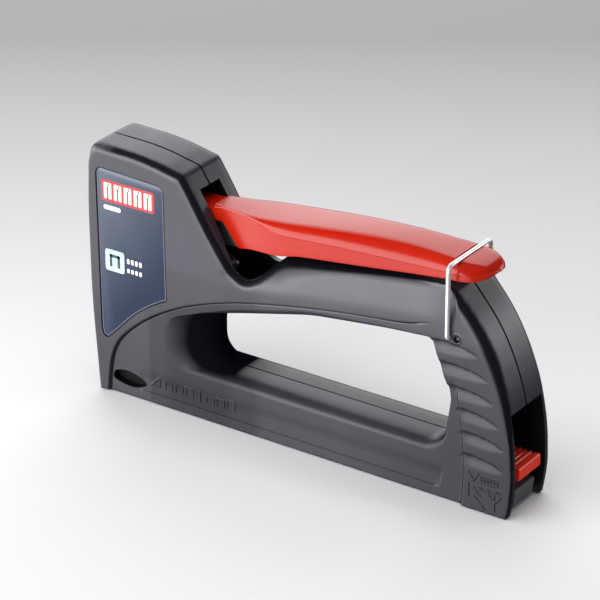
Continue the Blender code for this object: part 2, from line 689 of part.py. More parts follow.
def follower():
    """Pushes the staples forward: it straddles the rail and rides on the rod."""
    half, high = STAPLE_Y, 12.9
    legs = u_section(half, STAPLE_Z[0], high, half - RAIL_Y - GAP)
    legs[2] = (legs[2][0], 11.6)
    legs[3] = (legs[3][0], 11.6)
    body = loft("follower", [(STICK_X[1] + GAP, legs), (66.0, legs)], place_on_x)
    join(body, box("follower_hump", 54.5, 64.8, -2.4, 2.4, 12.4, 17.0))
    bore = ROD_RADIUS + 0.25
    cut(body, turned_x("cut_follower_bore", 0.0, ROD_Z, [(50.0, bore), (70.0, bore)]))
    return finish(body, (0.05, 0.05, 0.055), 0.5)


def pusher_rod():
    rod = turned_x("pusher_rod", 0.0, ROD_Z, [(15.0, ROD_RADIUS), (153.0, ROD_RADIUS)], 12)
    return steel(rod, smooth=True)


def rod_stop():
    """Ring on the front end of the rod that keeps the follower on it."""
    ring = turned_x("rod_stop", 0.0, ROD_Z, [(12.5, 1.7), (14.6, 1.7)], 12)
    return steel(ring, smooth=True)


def pusher_spring():
    start, end = 64.8 + GAP + 0.4, 149.6 - GAP - 0.4
    points = helix(at(start, 0.0, ROD_Z), Vector((1, 0, 0)), Vector((0, 1, 0)), 1.85, end - start, 15, 8)
    return steel(wire("pusher_spring", points, 0.25, 4), smooth=True)


def magazine_slide():
    """End block of the slide: it holds the rod and carries the latch."""
    outline = rounded([(149.9, 1.4, 0.6, 1), (167.2, 1.4, 1.0, 2), (168.0, 8.3, 0.6, 2), (156.2, 8.3, 0.5, 1),
                       (156.2, 17.3, 0.8, 2), (149.9, 17.3, 0.8, 2)])
    body = plate("magazine_slide", outline, -6.3, 6.3)
    cut(body, turned_x("cut_rod_seat", 0.0, ROD_Z, [(149.0, ROD_RADIUS + GAP), (155.0, ROD_RADIUS + GAP)]))
    return finish(body, (0.06, 0.062, 0.068), 0.45)


def latch_button():
    """Red button with a ridged top, pressed down to free the slide."""
    outline = [(156.8, 12.75), (169.4, 12.75), (169.7, 13.2), (169.7, 16.8), (169.3, 17.2)]
    for k in range(5):
        x = 167.6 - 1.9 * k
        outline += [(x, 17.2), (x - 0.35, 16.6), (x - 1.0, 16.6), (x - 1.35, 17.2)]
    outline += [(156.8, 17.2)]
    return red(plate("latch_button", outline, -6.8, 6.8))


def latch_spring():
    low, high = 8.3 + GAP + 0.25, 12.75 - GAP - 0.25
    points = helix(at(162.5, 0.0, low), Vector((0, 0, 1)), Vector((1, 0, 0)), 2.0, high - low, 4, 8)
    return steel(wire("latch_spring", points, 0.25, 4), smooth=True)


def rear_guide():
    """Plastic frame around the end of the channel, in the foot of the casing."""
    outline = [(-9.3, 0.2), (9.3, 0.2), (9.3, 13.0), (7.1, 13.0), (7.1, 0.95), (-7.1, 0.95),
               (-7.1, 13.0), (-9.3, 13.0)]
    frame = loft("rear_guide", [(152.6, outline), (163.0, outline)], place_on_x)
    return finish(frame, (0.03, 0.03, 0.032), 0.55)


# ---------------------------------------------------------------- fixed pieces of the head

def spring_cap():
    outline = rectangle(1.0, 13.8, -7.2, 7.2)
    return steel(loft("spring_cap", [(90.4, outline), (91.7, outline)], place_on_z))


def recoil_buffer():
    outline = rectangle(3.6, 13.4, -6.0, 6.0)
    body = bevel(loft("recoil_buffer", [(25.7, outline), (31.0, outline)], place_on_z), 0.8, 2)
    return finish(body, (0.02, 0.02, 0.02), 0.8)


def cross_pin(name, centre, radius):
    profile = [(-9.2, radius - 0.4), (-8.8, radius), (8.8, radius), (9.2, radius - 0.4)]
    return steel(turned(name, *centre, profile, 16), smooth=True)


def lever_spring():
    """Coil beside the lever's boss: its ends bear on the casing and on the lever."""
    centre = at(LEVER_PIVOT[0], 5.9, LEVER_PIVOT[1])
    points = helix(centre, Vector((0, 1, 0)), Vector((1, 0, 0)), 3.1, 1.6, 2.0, 12)
    return steel(wire("lever_spring", points, 0.35, 6), smooth=True)


def casing_screw(name, x, z):
    """Countersunk head on the far side, shank through both bosses, with a cross recess."""
    profile = [(-7.9, 0.7), (-7.3, 1.3), (9.5, 1.3), (9.5, 2.6), (10.4, 2.6), (10.8, 2.1)]
    screw = turned(name, x, z, profile, 14)
    cut(screw, box("cut_" + name + "_a", x - 1.5, x + 1.5, 10.1, 12.0, z - 0.3, z + 0.3))
    cut(screw, box("cut_" + name + "_b", x - 0.31, x + 0.31, 10.11, 12.1, z - 1.51, z + 1.51))
    return steel(screw)


# ---------------------------------------------------------------- assembly

def hang(pieces, name, pivot):
    """Parents the pieces to an empty that stands on their joint's axis."""
    joint = bpy.data.objects.new(name, None)
    joint.empty_display_size = 0.01
    joint.location = pivot
    bpy.context.scene.collection.objects.link(joint)
    for piece in pieces:
        piece.data.transform(Matrix.Translation(-pivot))
        piece.parent = joint
    return joint


def build():
    for obj in list(bpy.data.objects):
        bpy.data.objects.remove(obj)

    casing_half(-1, "casing_left")
    casing_half(1, "casing_right")
    label(-1, "label_left")
    label(1, "label_right")
    for k, (x, z) in enumerate(SCREWS):
        casing_screw("casing_screw_%d" % (k + 1), x, z)

    for make in (nose_plate, striker_guide, spring_cap, recoil_buffer, main_spring, lever_spring,
                 magazine_channel, staple_rail, staple_stick, rear_guide):
        make()
    cross_pin("lever_pivot_pin", LEVER_PIVOT, 2.2)
    cross_pin("rocker_pivot_pin", ROCKER_PIVOT, 2.0)

    rivets = [lever_rivet("lever_rivet_%d" % (k + 1), x) for k, x in enumerate(RIVET_X)]
    hang([lever(), lever_arm()] + rivets, "lever_joint", at(LEVER_PIVOT[0], 0.0, LEVER_PIVOT[1]))
    hang([rocker(), rocker_roller()], "rocker_joint", at(ROCKER_PIVOT[0], 0.0, ROCKER_PIVOT[1]))
    hang([plunger(), driver_blade(), blade_rivet()], "striker_joint", at(7.4, 0.0, 58.0))
    hang([lock_bail()], "bail_joint", at(BAIL_PIVOT[0], 0.0, BAIL_PIVOT[1]))
    hang([magazine_slide(), pusher_rod(), rod_stop(), pusher_spring(), latch_spring()], "magazine_joint",
         at(150.0, 0.0, 8.0))
    hang([follower()], "follower_joint", at(60.0, 0.0, 8.0))
    hang([latch_button()], "latch_joint", at(163.0, 0.0, 15.0))


build()
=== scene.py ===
"""Looks of the hand tacker: finely shaped casing halves, lever, wire, labels and finishes.

Lengths are in millimetres, in the part's own frame: x runs from the nose to the rear and is measured
from near the nose's lower front corner, y from the seam and z from the base. at() turns them into metres.
"""
import math

import bmesh
import bpy
import numpy as np
from mathutils import Matrix, Vector
from mathutils.geometry import delaunay_2d_cdt


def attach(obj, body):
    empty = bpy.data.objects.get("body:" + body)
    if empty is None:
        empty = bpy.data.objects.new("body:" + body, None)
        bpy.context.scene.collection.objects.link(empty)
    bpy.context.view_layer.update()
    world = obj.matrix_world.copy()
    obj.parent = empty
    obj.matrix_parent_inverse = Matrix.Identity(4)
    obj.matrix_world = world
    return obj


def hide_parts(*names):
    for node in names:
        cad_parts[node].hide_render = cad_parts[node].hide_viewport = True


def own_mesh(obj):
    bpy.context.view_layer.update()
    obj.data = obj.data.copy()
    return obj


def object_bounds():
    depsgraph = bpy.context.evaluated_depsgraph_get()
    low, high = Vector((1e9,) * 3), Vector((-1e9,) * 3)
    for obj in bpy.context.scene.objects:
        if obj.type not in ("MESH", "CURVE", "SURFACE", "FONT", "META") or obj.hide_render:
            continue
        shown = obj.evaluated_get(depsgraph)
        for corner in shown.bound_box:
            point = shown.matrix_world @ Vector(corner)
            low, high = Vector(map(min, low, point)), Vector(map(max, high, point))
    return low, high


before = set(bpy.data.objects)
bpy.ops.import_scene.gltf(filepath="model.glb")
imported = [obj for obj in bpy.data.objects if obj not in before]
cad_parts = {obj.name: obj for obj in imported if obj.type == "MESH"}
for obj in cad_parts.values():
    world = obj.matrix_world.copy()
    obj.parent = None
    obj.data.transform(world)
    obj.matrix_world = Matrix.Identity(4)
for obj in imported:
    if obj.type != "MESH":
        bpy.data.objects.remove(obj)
cad_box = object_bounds()

MM = 0.001
CAD_LOW = cad_box[0]
NOSE = -(CAD_LOW.x / MM) - 3.82  # the head reaches 3.82 in front of x = 0

# casing
HALF_THICKNESS = 12.0
SEAM = 0.17  # half of the gap between the halves
SEAM_EDGE = 0.25  # bevels at the seam, outside and in the hand opening
HOLE_EDGE = 0.2
EDGE_BASE = 0.3  # radius of the side's edge along the base
RECESS = 1.1  # depth of the lower zone of the side
CROWN = 0.1  # draft of the outer wall
GRID = 0.46  # spacing of the points on the side
LABEL_FLOOR = 11.05  # y of the pocket that the label lies in

LEVER_PIVOT = (24.0, 73.0)
BAIL_PIVOT = (144.5, 61.2)
DETENT = (147.5, 61.3)
WIRE_RADIUS = 0.78
FAIR = 400.0  # a radius so large that a corner is rounded as far as its neighbours allow
REACH_SHARE = 0.48  # the most of a stretch that one rounded corner takes up
BATCH = 4000  # points that are measured at once
FAR = 9.0  # stands for any distance that is too large to matter


# ---------------------------------------------------------------- outlines

def smooth(low, high, value):
    """0 below low, 1 above high, and an even curve between them."""
    t = np.clip((np.asarray(value, float) - low) / (high - low), 0.0, 1.0)
    return t * t * (3.0 - 2.0 * t)


def signed_area(points):
    following = np.roll(points, -1, axis=0)
    return 0.5 * float(np.sum(points[:, 0] * following[:, 1] - following[:, 0] * points[:, 1]))


def shrunk(corners, distance):
    """The corners moved inwards by distance, with radii to suit."""
    turn = 1.0 if signed_area(np.array([c[:2] for c in corners])) > 0.0 else -1.0
    moved = []
    for i, (x, z, radius) in enumerate(corners):
        here = Vector((x, z))
        before = (here - Vector(corners[i - 1][:2])).normalized()
        after = (Vector(corners[(i + 1) % len(corners)][:2]) - here).normalized()
        normals = Vector((-before.y, before.x)) * turn, Vector((-after.y, after.x)) * turn
        here += (normals[0] + normals[1]) * distance / (1.0 + normals[0].dot(normals[1]))
        convex = before.cross(after) * turn > 0.0
        if radius > 0.0:
            radius = max(radius + (-distance if convex else distance), 0.05)
        moved.append((here.x, here.y, radius))
    return moved


def straight_counts(corners, spacing):
    """How many pieces each straight stretch after a corner is divided into."""
    points = [Vector(c[:2]) for c in corners]
    return [max(1, round((points[(i + 1) % len(points)] - p).length / spacing)) for i, p in enumerate(points)]


def rounded(corners, arc=8, counts=None):
    """A closed outline from corners (x, z, radius): arcs of equal steps, joined by straight stretches."""
    arcs = []
    for i, (x, z, radius) in enumerate(corners):
        here = Vector((x, z))
        if radius == 0.0:
            arcs.append([here])
            continue
        back = Vector(corners[i - 1][:2]) - here
        ahead = Vector(corners[(i + 1) % len(corners)][:2]) - here
        half = back.angle(ahead) / 2.0
        reach = min(radius / math.tan(half), REACH_SHARE * back.length, REACH_SHARE * ahead.length)
        radius = reach * math.tan(half)
        middle = here + (back.normalized() + ahead.normalized()).normalized() * radius / math.sin(half)
        start = here + back.normalized() * reach - middle
        sweep = start.angle_signed(here + ahead.normalized() * reach - middle)
        arcs.append([middle + Matrix.Rotation(-sweep * k / arc, 2) @ start for k in range(arc + 1)])
    points = []
    for i, bend in enumerate(arcs):
        points += bend
        count = counts[i] if counts else 1
        following = arcs[(i + 1) % len(arcs)][0]
        points += [bend[-1].lerp(following, k / count) for k in range(1, count)]
    return np.array([(p.x, p.y) for p in points])


def circle(x, z, radius, sides):
    return [(x + radius * math.cos(2 * math.pi * k / sides), z + radius * math.sin(2 * math.pi * k / sides))
            for k in range(sides)]


def rectangle(u0, u1, v0, v1):
    return [(u0, v0), (u1, v0), (u1, v1), (u0, v1)]


def segments_of(line, closed):
    ends = np.roll(line, -1, axis=0)
    return (line, ends) if closed else (line[:-1], ends[:-1])


def distance_to(points, line, closed=True):
    """Distance of each point to a polyline."""
    a, b = segments_of(np.asarray(line, float), closed)
    d = b - a
    length2 = np.maximum((d ** 2).sum(1), 1e-12)
    result = np.empty(len(points))
    for start in range(0, len(points), BATCH):
        p = points[start:start + BATCH, None, :]
        t = np.clip(((p - a) * d).sum(2) / length2, 0.0, 1.0)
        gap = p - (a + t[..., None] * d)
        result[start:start + BATCH] = np.sqrt((gap ** 2).sum(2).min(1))
    return result


def inside(points, line):
    """Whether each point lies inside a closed polyline."""
    a, b = segments_of(np.asarray(line, float), True)
    result = np.empty(len(points), bool)
    for start in range(0, len(points), BATCH):
        x = points[start:start + BATCH, 0, None]
        z = points[start:start + BATCH, 1, None]
        crosses = (a[:, 1] > z) != (b[:, 1] > z)
        rise = np.where(b[:, 1] == a[:, 1], 1e-12, b[:, 1] - a[:, 1])
        at_x = a[:, 0] + (z - a[:, 1]) * (b[:, 0] - a[:, 0]) / rise
        result[start:start + BATCH] = (crosses & (x < at_x)).sum(1) % 2 == 1
    return result


def signed_distance(points, line):
    """Distance to a closed polyline, positive inside it."""
    distance = distance_to(points, line)
    return np.where(inside(points, line), distance, -distance)


# ---------------------------------------------------------------- meshes

def at(x, y, z):
    return Vector(((x - NOSE) * MM, y * MM, z * MM))


def new_object(name, bm, body=None):
    bmesh.ops.recalc_face_normals(bm, faces=bm.faces)
    if bm.calc_volume(signed=True) < 0.0:
        bmesh.ops.reverse_faces(bm, faces=bm.faces)
    mesh = bpy.data.meshes.new(name)
    bm.to_mesh(mesh)
    bm.free()
    obj = bpy.data.objects.new(name, mesh)
    bpy.context.scene.collection.objects.link(obj)
    if body:
        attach(obj, body)
    return obj


def on_y(y, x, z):
    return at(x, y, z)


def on_z(z, x, y):
    return at(x, y, z)


def add_loft(bm, sections, place, material=0):
    """A closed body through sections (position, outline), all with the same number of points."""
    rings = [[bm.verts.new(place(s, u, v)) for u, v in outline] for s, outline in sections]
    faces = []
    for low, high in zip(rings, rings[1:]):
        for i in range(len(low)):
            j = (i + 1) % len(low)
            faces.append(bm.faces.new((low[i], low[j], high[j], high[i])))
    faces += [bm.faces.new(rings[0]), bm.faces.new(rings[-1])]
    for face in faces:
        face.material_index = material


def loft(name, sections, place=on_y, body=None, material=0):
    bm = bmesh.new()
    add_loft(bm, sections, place, material)
    return new_object(name, bm, body)


def box(name, x0, x1, y0, y1, z0, z1, material=0):
    ring = rectangle(x0, x1, y0, y1)
    return loft(name, [(z0, ring), (z1, ring)], on_z, material=material)


def turned(name, x, z, profile, sides=24):
    return loft(name, [(y, circle(x, z, radius, sides)) for y, radius in profile])


def join_cutters(name, pieces):
    """One body from several that may overlap."""
    body = pieces[0]
    for other in pieces[1:]:
        carve(body, other, "UNION")
    body.name = name
    return body


def carve(obj, other, operation="DIFFERENCE"):
    """Applies a Boolean of two closed bodies at once and removes the second one."""
    step = obj.modifiers.new("carve", "BOOLEAN")
    step.operation = operation
    step.solver = "MANIFOLD"
    step.object = other
    graph = bpy.context.evaluated_depsgraph_get()
    mesh = bpy.data.meshes.new_from_object(obj.evaluated_get(graph))
    old = obj.data
    obj.modifiers.clear()
    obj.data = mesh
    mesh.name = obj.name
    bpy.data.meshes.remove(old)
    bpy.data.objects.remove(other)
    return obj


def shade(obj, angle=32.0):
    obj.data.shade_smooth()
    obj.data.set_sharp_from_angle(angle=math.radians(angle))
    return obj


# ---------------------------------------------------------------- casing: outlines

CASING = [
    (-0.8, 0.0, 0.6), (168.3, 0.0, 1.2), (170.06, 11.0, FAIR), (169.6, 26.0, FAIR), (167.1, 42.0, FAIR),
    (161.6, 56.5, FAIR), (155.6, 66.6, FAIR), (146.0, 77.5, 2.0), (142.5, 79.4, 2.0), (86.5, 72.1, 10.0),
    (76.0, 69.9, 9.0), (67.5, 61.4, 10.0), (62.3, 57.8, 5.0), (56.4, 61.3, 8.0), (48.5, 72.0, FAIR),
    (40.4, 85.2, FAIR), (36.4, 91.3, 3.5), (20.0, 94.5, 90.0), (-3.0, 94.95, 4.0), (-3.84, 70.0, FAIR),
    (-3.4, 35.0, FAIR),
]
CASING_COUNTS = straight_counts(CASING, 1.1)

# corners of the hand opening at the seam and where it meets the face: x, z, radius
OPENING = [
    ((45.5, 19.9, 9.0), (27.0, 16.2, 10.0)), ((141.5, 19.9, 7.0), (143.2, 16.4, 9.0)),
    ((144.9, 39.5, 14.0), (145.6, 39.8, 14.0)), ((138.2, 58.4, 4.0), (137.6, 59.6, 3.0)),
    ((88.3, 51.6, 90.0), (88.3, 55.0, 90.0)), ((60.0, 44.4, 70.0), (58.0, 47.2, 70.0)),
    ((45.5, 39.6, 6.0), (28.5, 35.6, 10.0)),
]
# how each corner's x and z leave the seam's outline: exponents of the flare
FUNNEL, ROLL, LIP = (2.1, 0.75), (4.0, 0.5), (9.0, 0.5)
OPENING_FLARE = [(FUNNEL, ROLL), (LIP, ROLL), (LIP, LIP), (LIP, ROLL), (ROLL, ROLL), (ROLL, ROLL),
                 (FUNNEL, ROLL)]
OPENING_COUNTS = straight_counts([seam for seam, _ in OPENING], 1.2)

ZONE = [
    (3.2, -3.0, 0.0), (150.0, -3.0, 0.0), (151.2, 15.0, FAIR), (149.4, 31.0, FAIR), (147.0, 45.0, FAIR),
    (145.0, 66.5, 6.0), (125.4, 60.9, FAIR), (109.6, 59.1, FAIR), (93.7, 56.9, FAIR), (77.4, 53.9, FAIR),
    (60.8, 50.3, FAIR), (52.4, 47.9, FAIR), (43.9, 45.0, FAIR), (35.3, 41.4, FAIR), (26.6, 36.8, FAIR),
    (17.8, 30.8, FAIR), (11.2, 24.7, FAIR), (8.1, 21.0, FAIR), (5.9, 16.6, FAIR), (4.6, 12.0, FAIR),
    (3.6, 4.0, FAIR),
]
LABEL = [
    (1.2, 24.5, 1.5), (1.9, 22.1, 0.8), (3.7, 21.5, 1.2), (8.9, 26.6, FAIR), (13.4, 31.4, FAIR),
    (17.9, 35.4, FAIR), (22.3, 38.5, FAIR), (26.7, 41.2, FAIR), (29.6, 42.6, 1.2), (29.0, 85.4, 2.6),
    (0.3, 86.6, 2.6),
]
HANDLE_EDGE = np.array([
    (58.0, 60.0), (65.0, 57.9), (70.0, 57.7), (77.4, 58.4), (93.6, 60.9), (109.6, 63.0), (125.3, 64.8),
    (140.8, 66.3), (152.0, 67.0),
])
GROOVES = [(138.2, 56.8, 155.0, 57.7), (140.8, 49.5, 159.2, 49.8), (144.6, 41.6, 161.6, 41.8),
           (148.6, 34.3, 164.0, 33.9), (150.2, 26.1, 166.0, 26.0), (150.8, 18.0, 166.2, 17.9)]
WINDOW = [
    (4.6, 5.6, 1.2), (6.5, 4.7, FAIR), (9.6, 4.0, FAIR), (13.2, 3.7, FAIR), (16.5, 4.4, FAIR),
    (20.2, 6.2, 0.9), (17.7, 8.2, FAIR), (15.1, 9.3, FAIR), (12.0, 9.8, FAIR), (8.9, 9.7, FAIR),
    (5.6, 8.5, 1.4),
]
SCREWS = [(22.0, 89.9), (21.0, 22.2), (100.0, 63.5), (153.0, 44.0), (148.0, 66.8)]


def opening_ring(t):
    """Outline of the hand opening at a share t of the way from the seam to the face."""
    corners = []
    for (seam, face), flares in zip(OPENING, OPENING_FLARE):
        moved = [a + (b - a) * (1.0 - (1.0 - t ** p) ** q) for a, b, (p, q) in zip(seam, face, flares)]
        moved.append(seam[2] + (face[2] - seam[2]) * t)
        corners.append(tuple(moved))
    return rounded(corners, 12, OPENING_COUNTS)


# ---------------------------------------------------------------- casing: relief of the side

def staple_mark(x, z, width, height):
    return [(x, z), (x, z + height), (x + width, z + height), (x + width, z)]


def relief_strokes():
    """Raised marks: a wedge, a line and staples on the bar, and a strip, arrows and strokes on the foot."""
    strokes = [[(21.5, 7.2), (25.0, 10.6), (25.0, 7.2), (21.5, 7.2)]]
    strokes += [staple_mark(27.5 + 4.5 * k, 7.4, 3.0, 2.4 + 0.4 * k) for k in range(3)]
    strokes += [[(42.6, 7.0), (42.6, 10.8)]]
    strokes += [staple_mark(45.2 + 4.5 * k, 7.4, 3.2, 2.2 + 0.5 * k) for k in range(3)]
    strokes += [[(153.2, 14.4), (155.2, 11.2), (157.2, 14.4)], [(153.4, 9.8), (153.4, 5.2)]]
    strokes += [[(158.2, 13.4), (164.4, 13.4), (164.4, 11.6), (158.2, 11.6), (158.2, 13.4)]]
    strokes += [[(159.4 + 1.2 * k, 13.4), (159.4 + 1.2 * k, 11.6)] for k in range(4)]
    strokes += [[(155.6, 8.6), (165.4, 9.2)], [(156.0, 5.4), (159.8, 1.4)], [(155.8, 8.0), (158.2, 6.2)]]
    strokes += [[(161.2, 7.6), (163.4, 5.0), (165.8, 7.8)], [(163.4, 7.8), (163.4, 2.2)]]
    return [np.array(s) for s in strokes]


STROKES = relief_strokes()


def stroke_distance(points):
    result = np.full(len(points), FAR)
    near = ((points[:, 0] > 20.0) & (points[:, 0] < 66.0) | (points[:, 0] > 152.0)) & (points[:, 1] < 16.0)
    chosen = points[near]
    if len(chosen):
        result[near] = np.min([distance_to(chosen, s, closed=False) for s in STROKES], axis=0)
    return result


def groove_depth(x, z):
    """Six tapered finger grooves: steep above, shallow below."""
    depth = np.zeros_like(x)
    for x0, z0, x1, z1 in GROOVES:
        u = (x - x0) / (x1 - x0)
        share = np.clip(u, 0.0, 1.0)
        half = 2.75 * np.sqrt(1.0 - share ** 2.4) * smooth(-0.14, 0.02, u) + 1e-6
        centre = z0 + (z1 - z0) * u - 0.9 * share ** 2
        v = (z - centre) / half
        profile = np.where(v > 0.55, 1.0 - smooth(0.55, 1.0, v), smooth(-1.0, 0.55, v))
        fade = smooth(-0.14, 0.0, u) * (1.0 - smooth(0.55, 1.05, u) * 0.75)
        fade = fade * (0.45 + 0.55 * smooth(0.0, 0.22, u))
        depth += np.where((u > -0.14) & (u < 1.0) & (np.abs(v) < 1.0), 0.95 * profile * fade, 0.0)
    return depth


def fillet_radius(x, z, soft):
    """Radius of the edge round the side: it varies from tight at the nose and foot to full at the top."""
    nose = 0.8 + 2.2 * np.maximum(smooth(2.0, 12.0, x), smooth(86.0, 93.0, z))
    rear = np.interp(z, [0.0, 15.0, 26.0, 38.0, 57.0, 72.0], [1.0, 1.0, 1.4, 3.0, 4.3, 3.6])
    radius = nose + (rear - nose) * smooth(140.0, 150.0, x)
    ridge = smooth(64.0, 76.0, x) * (1.0 - smooth(143.0, 149.0, x)) * smooth(58.0, 64.0, z)
    under_lever = 3.4 - 2.4 * smooth(86.0, 126.0, x)
    return (radius + (under_lever - radius) * ridge) * soft


def rounded_off(edge, radius):
    """How far a quarter-round edge has dropped at a distance from the border."""
    t = np.clip(1.0 - edge / radius, 0.0, 1.0)
    return radius * (1.0 - np.sqrt(1.0 - t ** 2))


def upper_border(border):
    """The border without the straight line along the base, from the rear round to the nose."""
    low = border[:, 1] < 0.35
    first = int(np.nonzero(low)[0].max()) + 1
    turned_line = np.roll(border, -first, axis=0)
    return turned_line[np.roll(~low, -first)]


def side_height(points, outlines, soft):
    """How far the side's surface lies from the seam, at points (x, z)."""
    x, z = points.T
    radius = fillet_radius(x, z, soft)
    drop = rounded_off(distance_to(points, upper_border(outlines["casing"]), closed=False), radius)
    drop = np.maximum(drop, rounded_off(np.maximum(z - CROWN, 0.0), EDGE_BASE))

    zone = signed_distance(points, outlines["zone"])
    foot = smooth(144.0, 147.0, x)
    fade = 1.0 - smooth(116.0, 138.0, x) * smooth(38.0, 47.0, z)
    width = 0.16 + 0.5 * foot
    drop += RECESS * smooth(-width, width, zone) * fade
    line = np.exp(-(zone / 0.26) ** 2) * (1.0 - foot) * (1.0 - smooth(120.0, 140.0, x))
    drop += 0.8 * line * (1.0 - smooth(0.0, 1.0, -z))

    above = z - np.interp(x, HANDLE_EDGE[:, 0], HANDLE_EDGE[:, 1])
    slope = 0.245 - 0.13 * smooth(132.0, 146.0, x)
    slope += 0.16 * (1.0 - smooth(66.0, 92.0, x))
    tilt = slope * 0.9 * np.logaddexp(0.0, above / 0.9) * smooth(58.0, 64.0, x)
    drop += tilt * (1.0 - smooth(144.9, 147.6, x))

    drop += groove_depth(x, z)
    panel = smooth(3.85, 4.15, z) * (1.0 - smooth(8.0, 13.0, z)) * smooth(16.0, 18.5, x)
    drop += 0.3 * panel * (1.0 - smooth(140.4, 141.6, x - 0.25 * (z - 4.0)))
    drop -= 0.26 * (1.0 - smooth(0.2, 0.42, stroke_distance(points)))
    pivot = np.hypot(x - DETENT[0], z - DETENT[1])
    drop += 0.9 * (1.0 - smooth(0.5, 1.25, pivot)) - 0.25 * np.exp(-((pivot - 1.55) / 0.3) ** 2)

    height = HALF_THICKNESS - drop
    label = signed_distance(points, outlines["label"])
    return np.where(label > 0.0, np.minimum(height, LABEL_FLOOR), height)


def offset_line(line, distance):
    """A closed line moved sideways, positive to the inside."""
    turn = 1.0 if signed_area(line) > 0.0 else -1.0
    ahead = np.roll(line, -1, axis=0) - np.roll(line, 1, axis=0)
    ahead /= np.maximum(np.linalg.norm(ahead, axis=1), 1e-9)[:, None]
    return line + turn * distance * np.stack([-ahead[:, 1], ahead[:, 0]], axis=1)


def resampled(line, spacing):
    closed = np.vstack([line, line[:1]])
    steps = np.linalg.norm(np.diff(closed, axis=0), axis=1)
    along = np.concatenate([[0.0], np.cumsum(steps)])
    places = np.linspace(0.0, along[-1], max(8, int(along[-1] / spacing)), endpoint=False)
    return np.stack([np.interp(places, along, closed[:, k]) for k in range(2)], axis=1)


def guide_points(outlines):
    """Points that follow the relief's lines, so that the triangles do too."""
    layers = []
    for distance in (0.1, 0.4, 0.88, 1.5, 2.25, 3.0):
        ring = offset_line(resampled(outlines["casing"], 0.8), distance)
        layers.append(ring[distance_to(ring, outlines["casing"]) > 0.93 * distance])
    for distance in (-1.0, -0.62, -0.36, -0.16, 0.0, 0.16, 0.36, 0.62, 1.0):
        ring = offset_line(resampled(outlines["zone"], 0.55), distance)
        layers.append(ring[ring[:, 0] < 141.0])
    for distance in (-0.04, 0.04):
        layers.append(offset_line(resampled(outlines["label"], 0.4), distance))
    for height in (3.85, 4.0, 4.15):
        xs = np.arange(17.0, 139.5, 0.6)
        layers.append(np.stack([xs, np.full_like(xs, height)], axis=1))
    for radius in (0.35, 0.7, 1.0, 1.3, 1.6, 1.9):
        layers.append(np.array(circle(*DETENT, radius, 24)))
    return np.vstack(layers)


def grid_points(x0, x1, z0, z1, spacing):
    xs, zs = np.meshgrid(np.arange(x0, x1, spacing), np.arange(z0, z1, spacing * 0.866))
    xs = xs + (np.arange(len(zs)) % 2)[:, None] * spacing / 2.0
    return np.stack([xs.ravel(), zs.ravel()], axis=1)


def thinned(points, kept, cell):
    """The points that lie at least about a cell away from the kept ones."""
    origin = np.array([-10.0, -10.0])
    size = (np.array([200.0, 120.0]) / cell).astype(int)
    taken = np.zeros(size, bool)
    i, j = ((kept - origin) / cell).astype(int).T
    for di in (-1, 0, 1):
        for dj in (-1, 0, 1):
            taken[np.clip(i + di, 0, size[0] - 1), np.clip(j + dj, 0, size[1] - 1)] = True
    i, j = ((points - origin) / cell).astype(int).T
    return points[~taken[i, j]]


def side_points(outlines):
    """All points of the side's surface between its border and the hand opening."""
    opening = outlines["opening"]
    guides = guide_points(outlines)
    fine = np.vstack([grid_points(20.6, 66.0, 6.4, 11.6, 0.2), grid_points(152.0, 167.0, 0.8, 15.2, 0.22),
                      grid_points(145.0, 150.0, 58.8, 63.8, 0.25)])
    coarse = grid_points(-4.5, 170.5, 0.0, 95.5, GRID)
    guides = guides[(signed_distance(guides, outlines["casing"]) > 0.06)]
    fine = thinned(fine, guides, 0.12)
    coarse = thinned(coarse, np.vstack([guides, fine]), 0.24)
    points = np.vstack([guides, fine, coarse])
    clear = (signed_distance(points, outlines["casing"]) > 0.09) & (signed_distance(points, opening) < -0.3)
    return points[clear]


def triangulate(rings, points, holes):
    """Delaunay triangles between closed rings: returns the points and triangles, rings first."""
    coordinates = [Vector(p) for ring in rings for p in ring]
    edges, start = [], 0
    for ring in rings:
        edges += [(start + k, start + (k + 1) % len(ring)) for k in range(len(ring))]
        start += len(ring)
    coordinates += [Vector(p) for p in points]
    out_points, _, faces, origin, _, _ = delaunay_2d_cdt(coordinates, edges, [], 0, 1e-6)
    place = np.arange(len(out_points)) + len(coordinates)
    for k, sources in enumerate(origin):
        if sources:
            place[k] = sources[0]
    merged = np.vstack([np.array([tuple(c) for c in coordinates]), np.array([tuple(p) for p in out_points])])
    triangles = place[np.array(faces)]
    on_ring = (triangles < start).all(1)
    centres = merged[triangles].mean(1)
    keep = np.ones(len(triangles), bool)
    doubtful = np.where(on_ring)[0]
    within = inside(centres[doubtful], rings[0])
    for hole in holes:
        within &= ~inside(centres[doubtful], hole)
    keep[doubtful] = within
    return merged, triangles[keep]


def side_sheet():
    """The side's surface seen flat: its border, the opening, and triangles between them."""
    face_border = rounded(shrunk(CASING, CROWN), 8, CASING_COUNTS)
    hole = opening_ring(1.0)
    outlines = {
        "casing": face_border, "opening": hole, "zone": rounded(ZONE, 10),
        "label": rounded(shrunk(LABEL, -0.3)),
    }
    flat, triangles = triangulate([face_border, hole], side_points(outlines), [hole])
    return outlines, flat, triangles


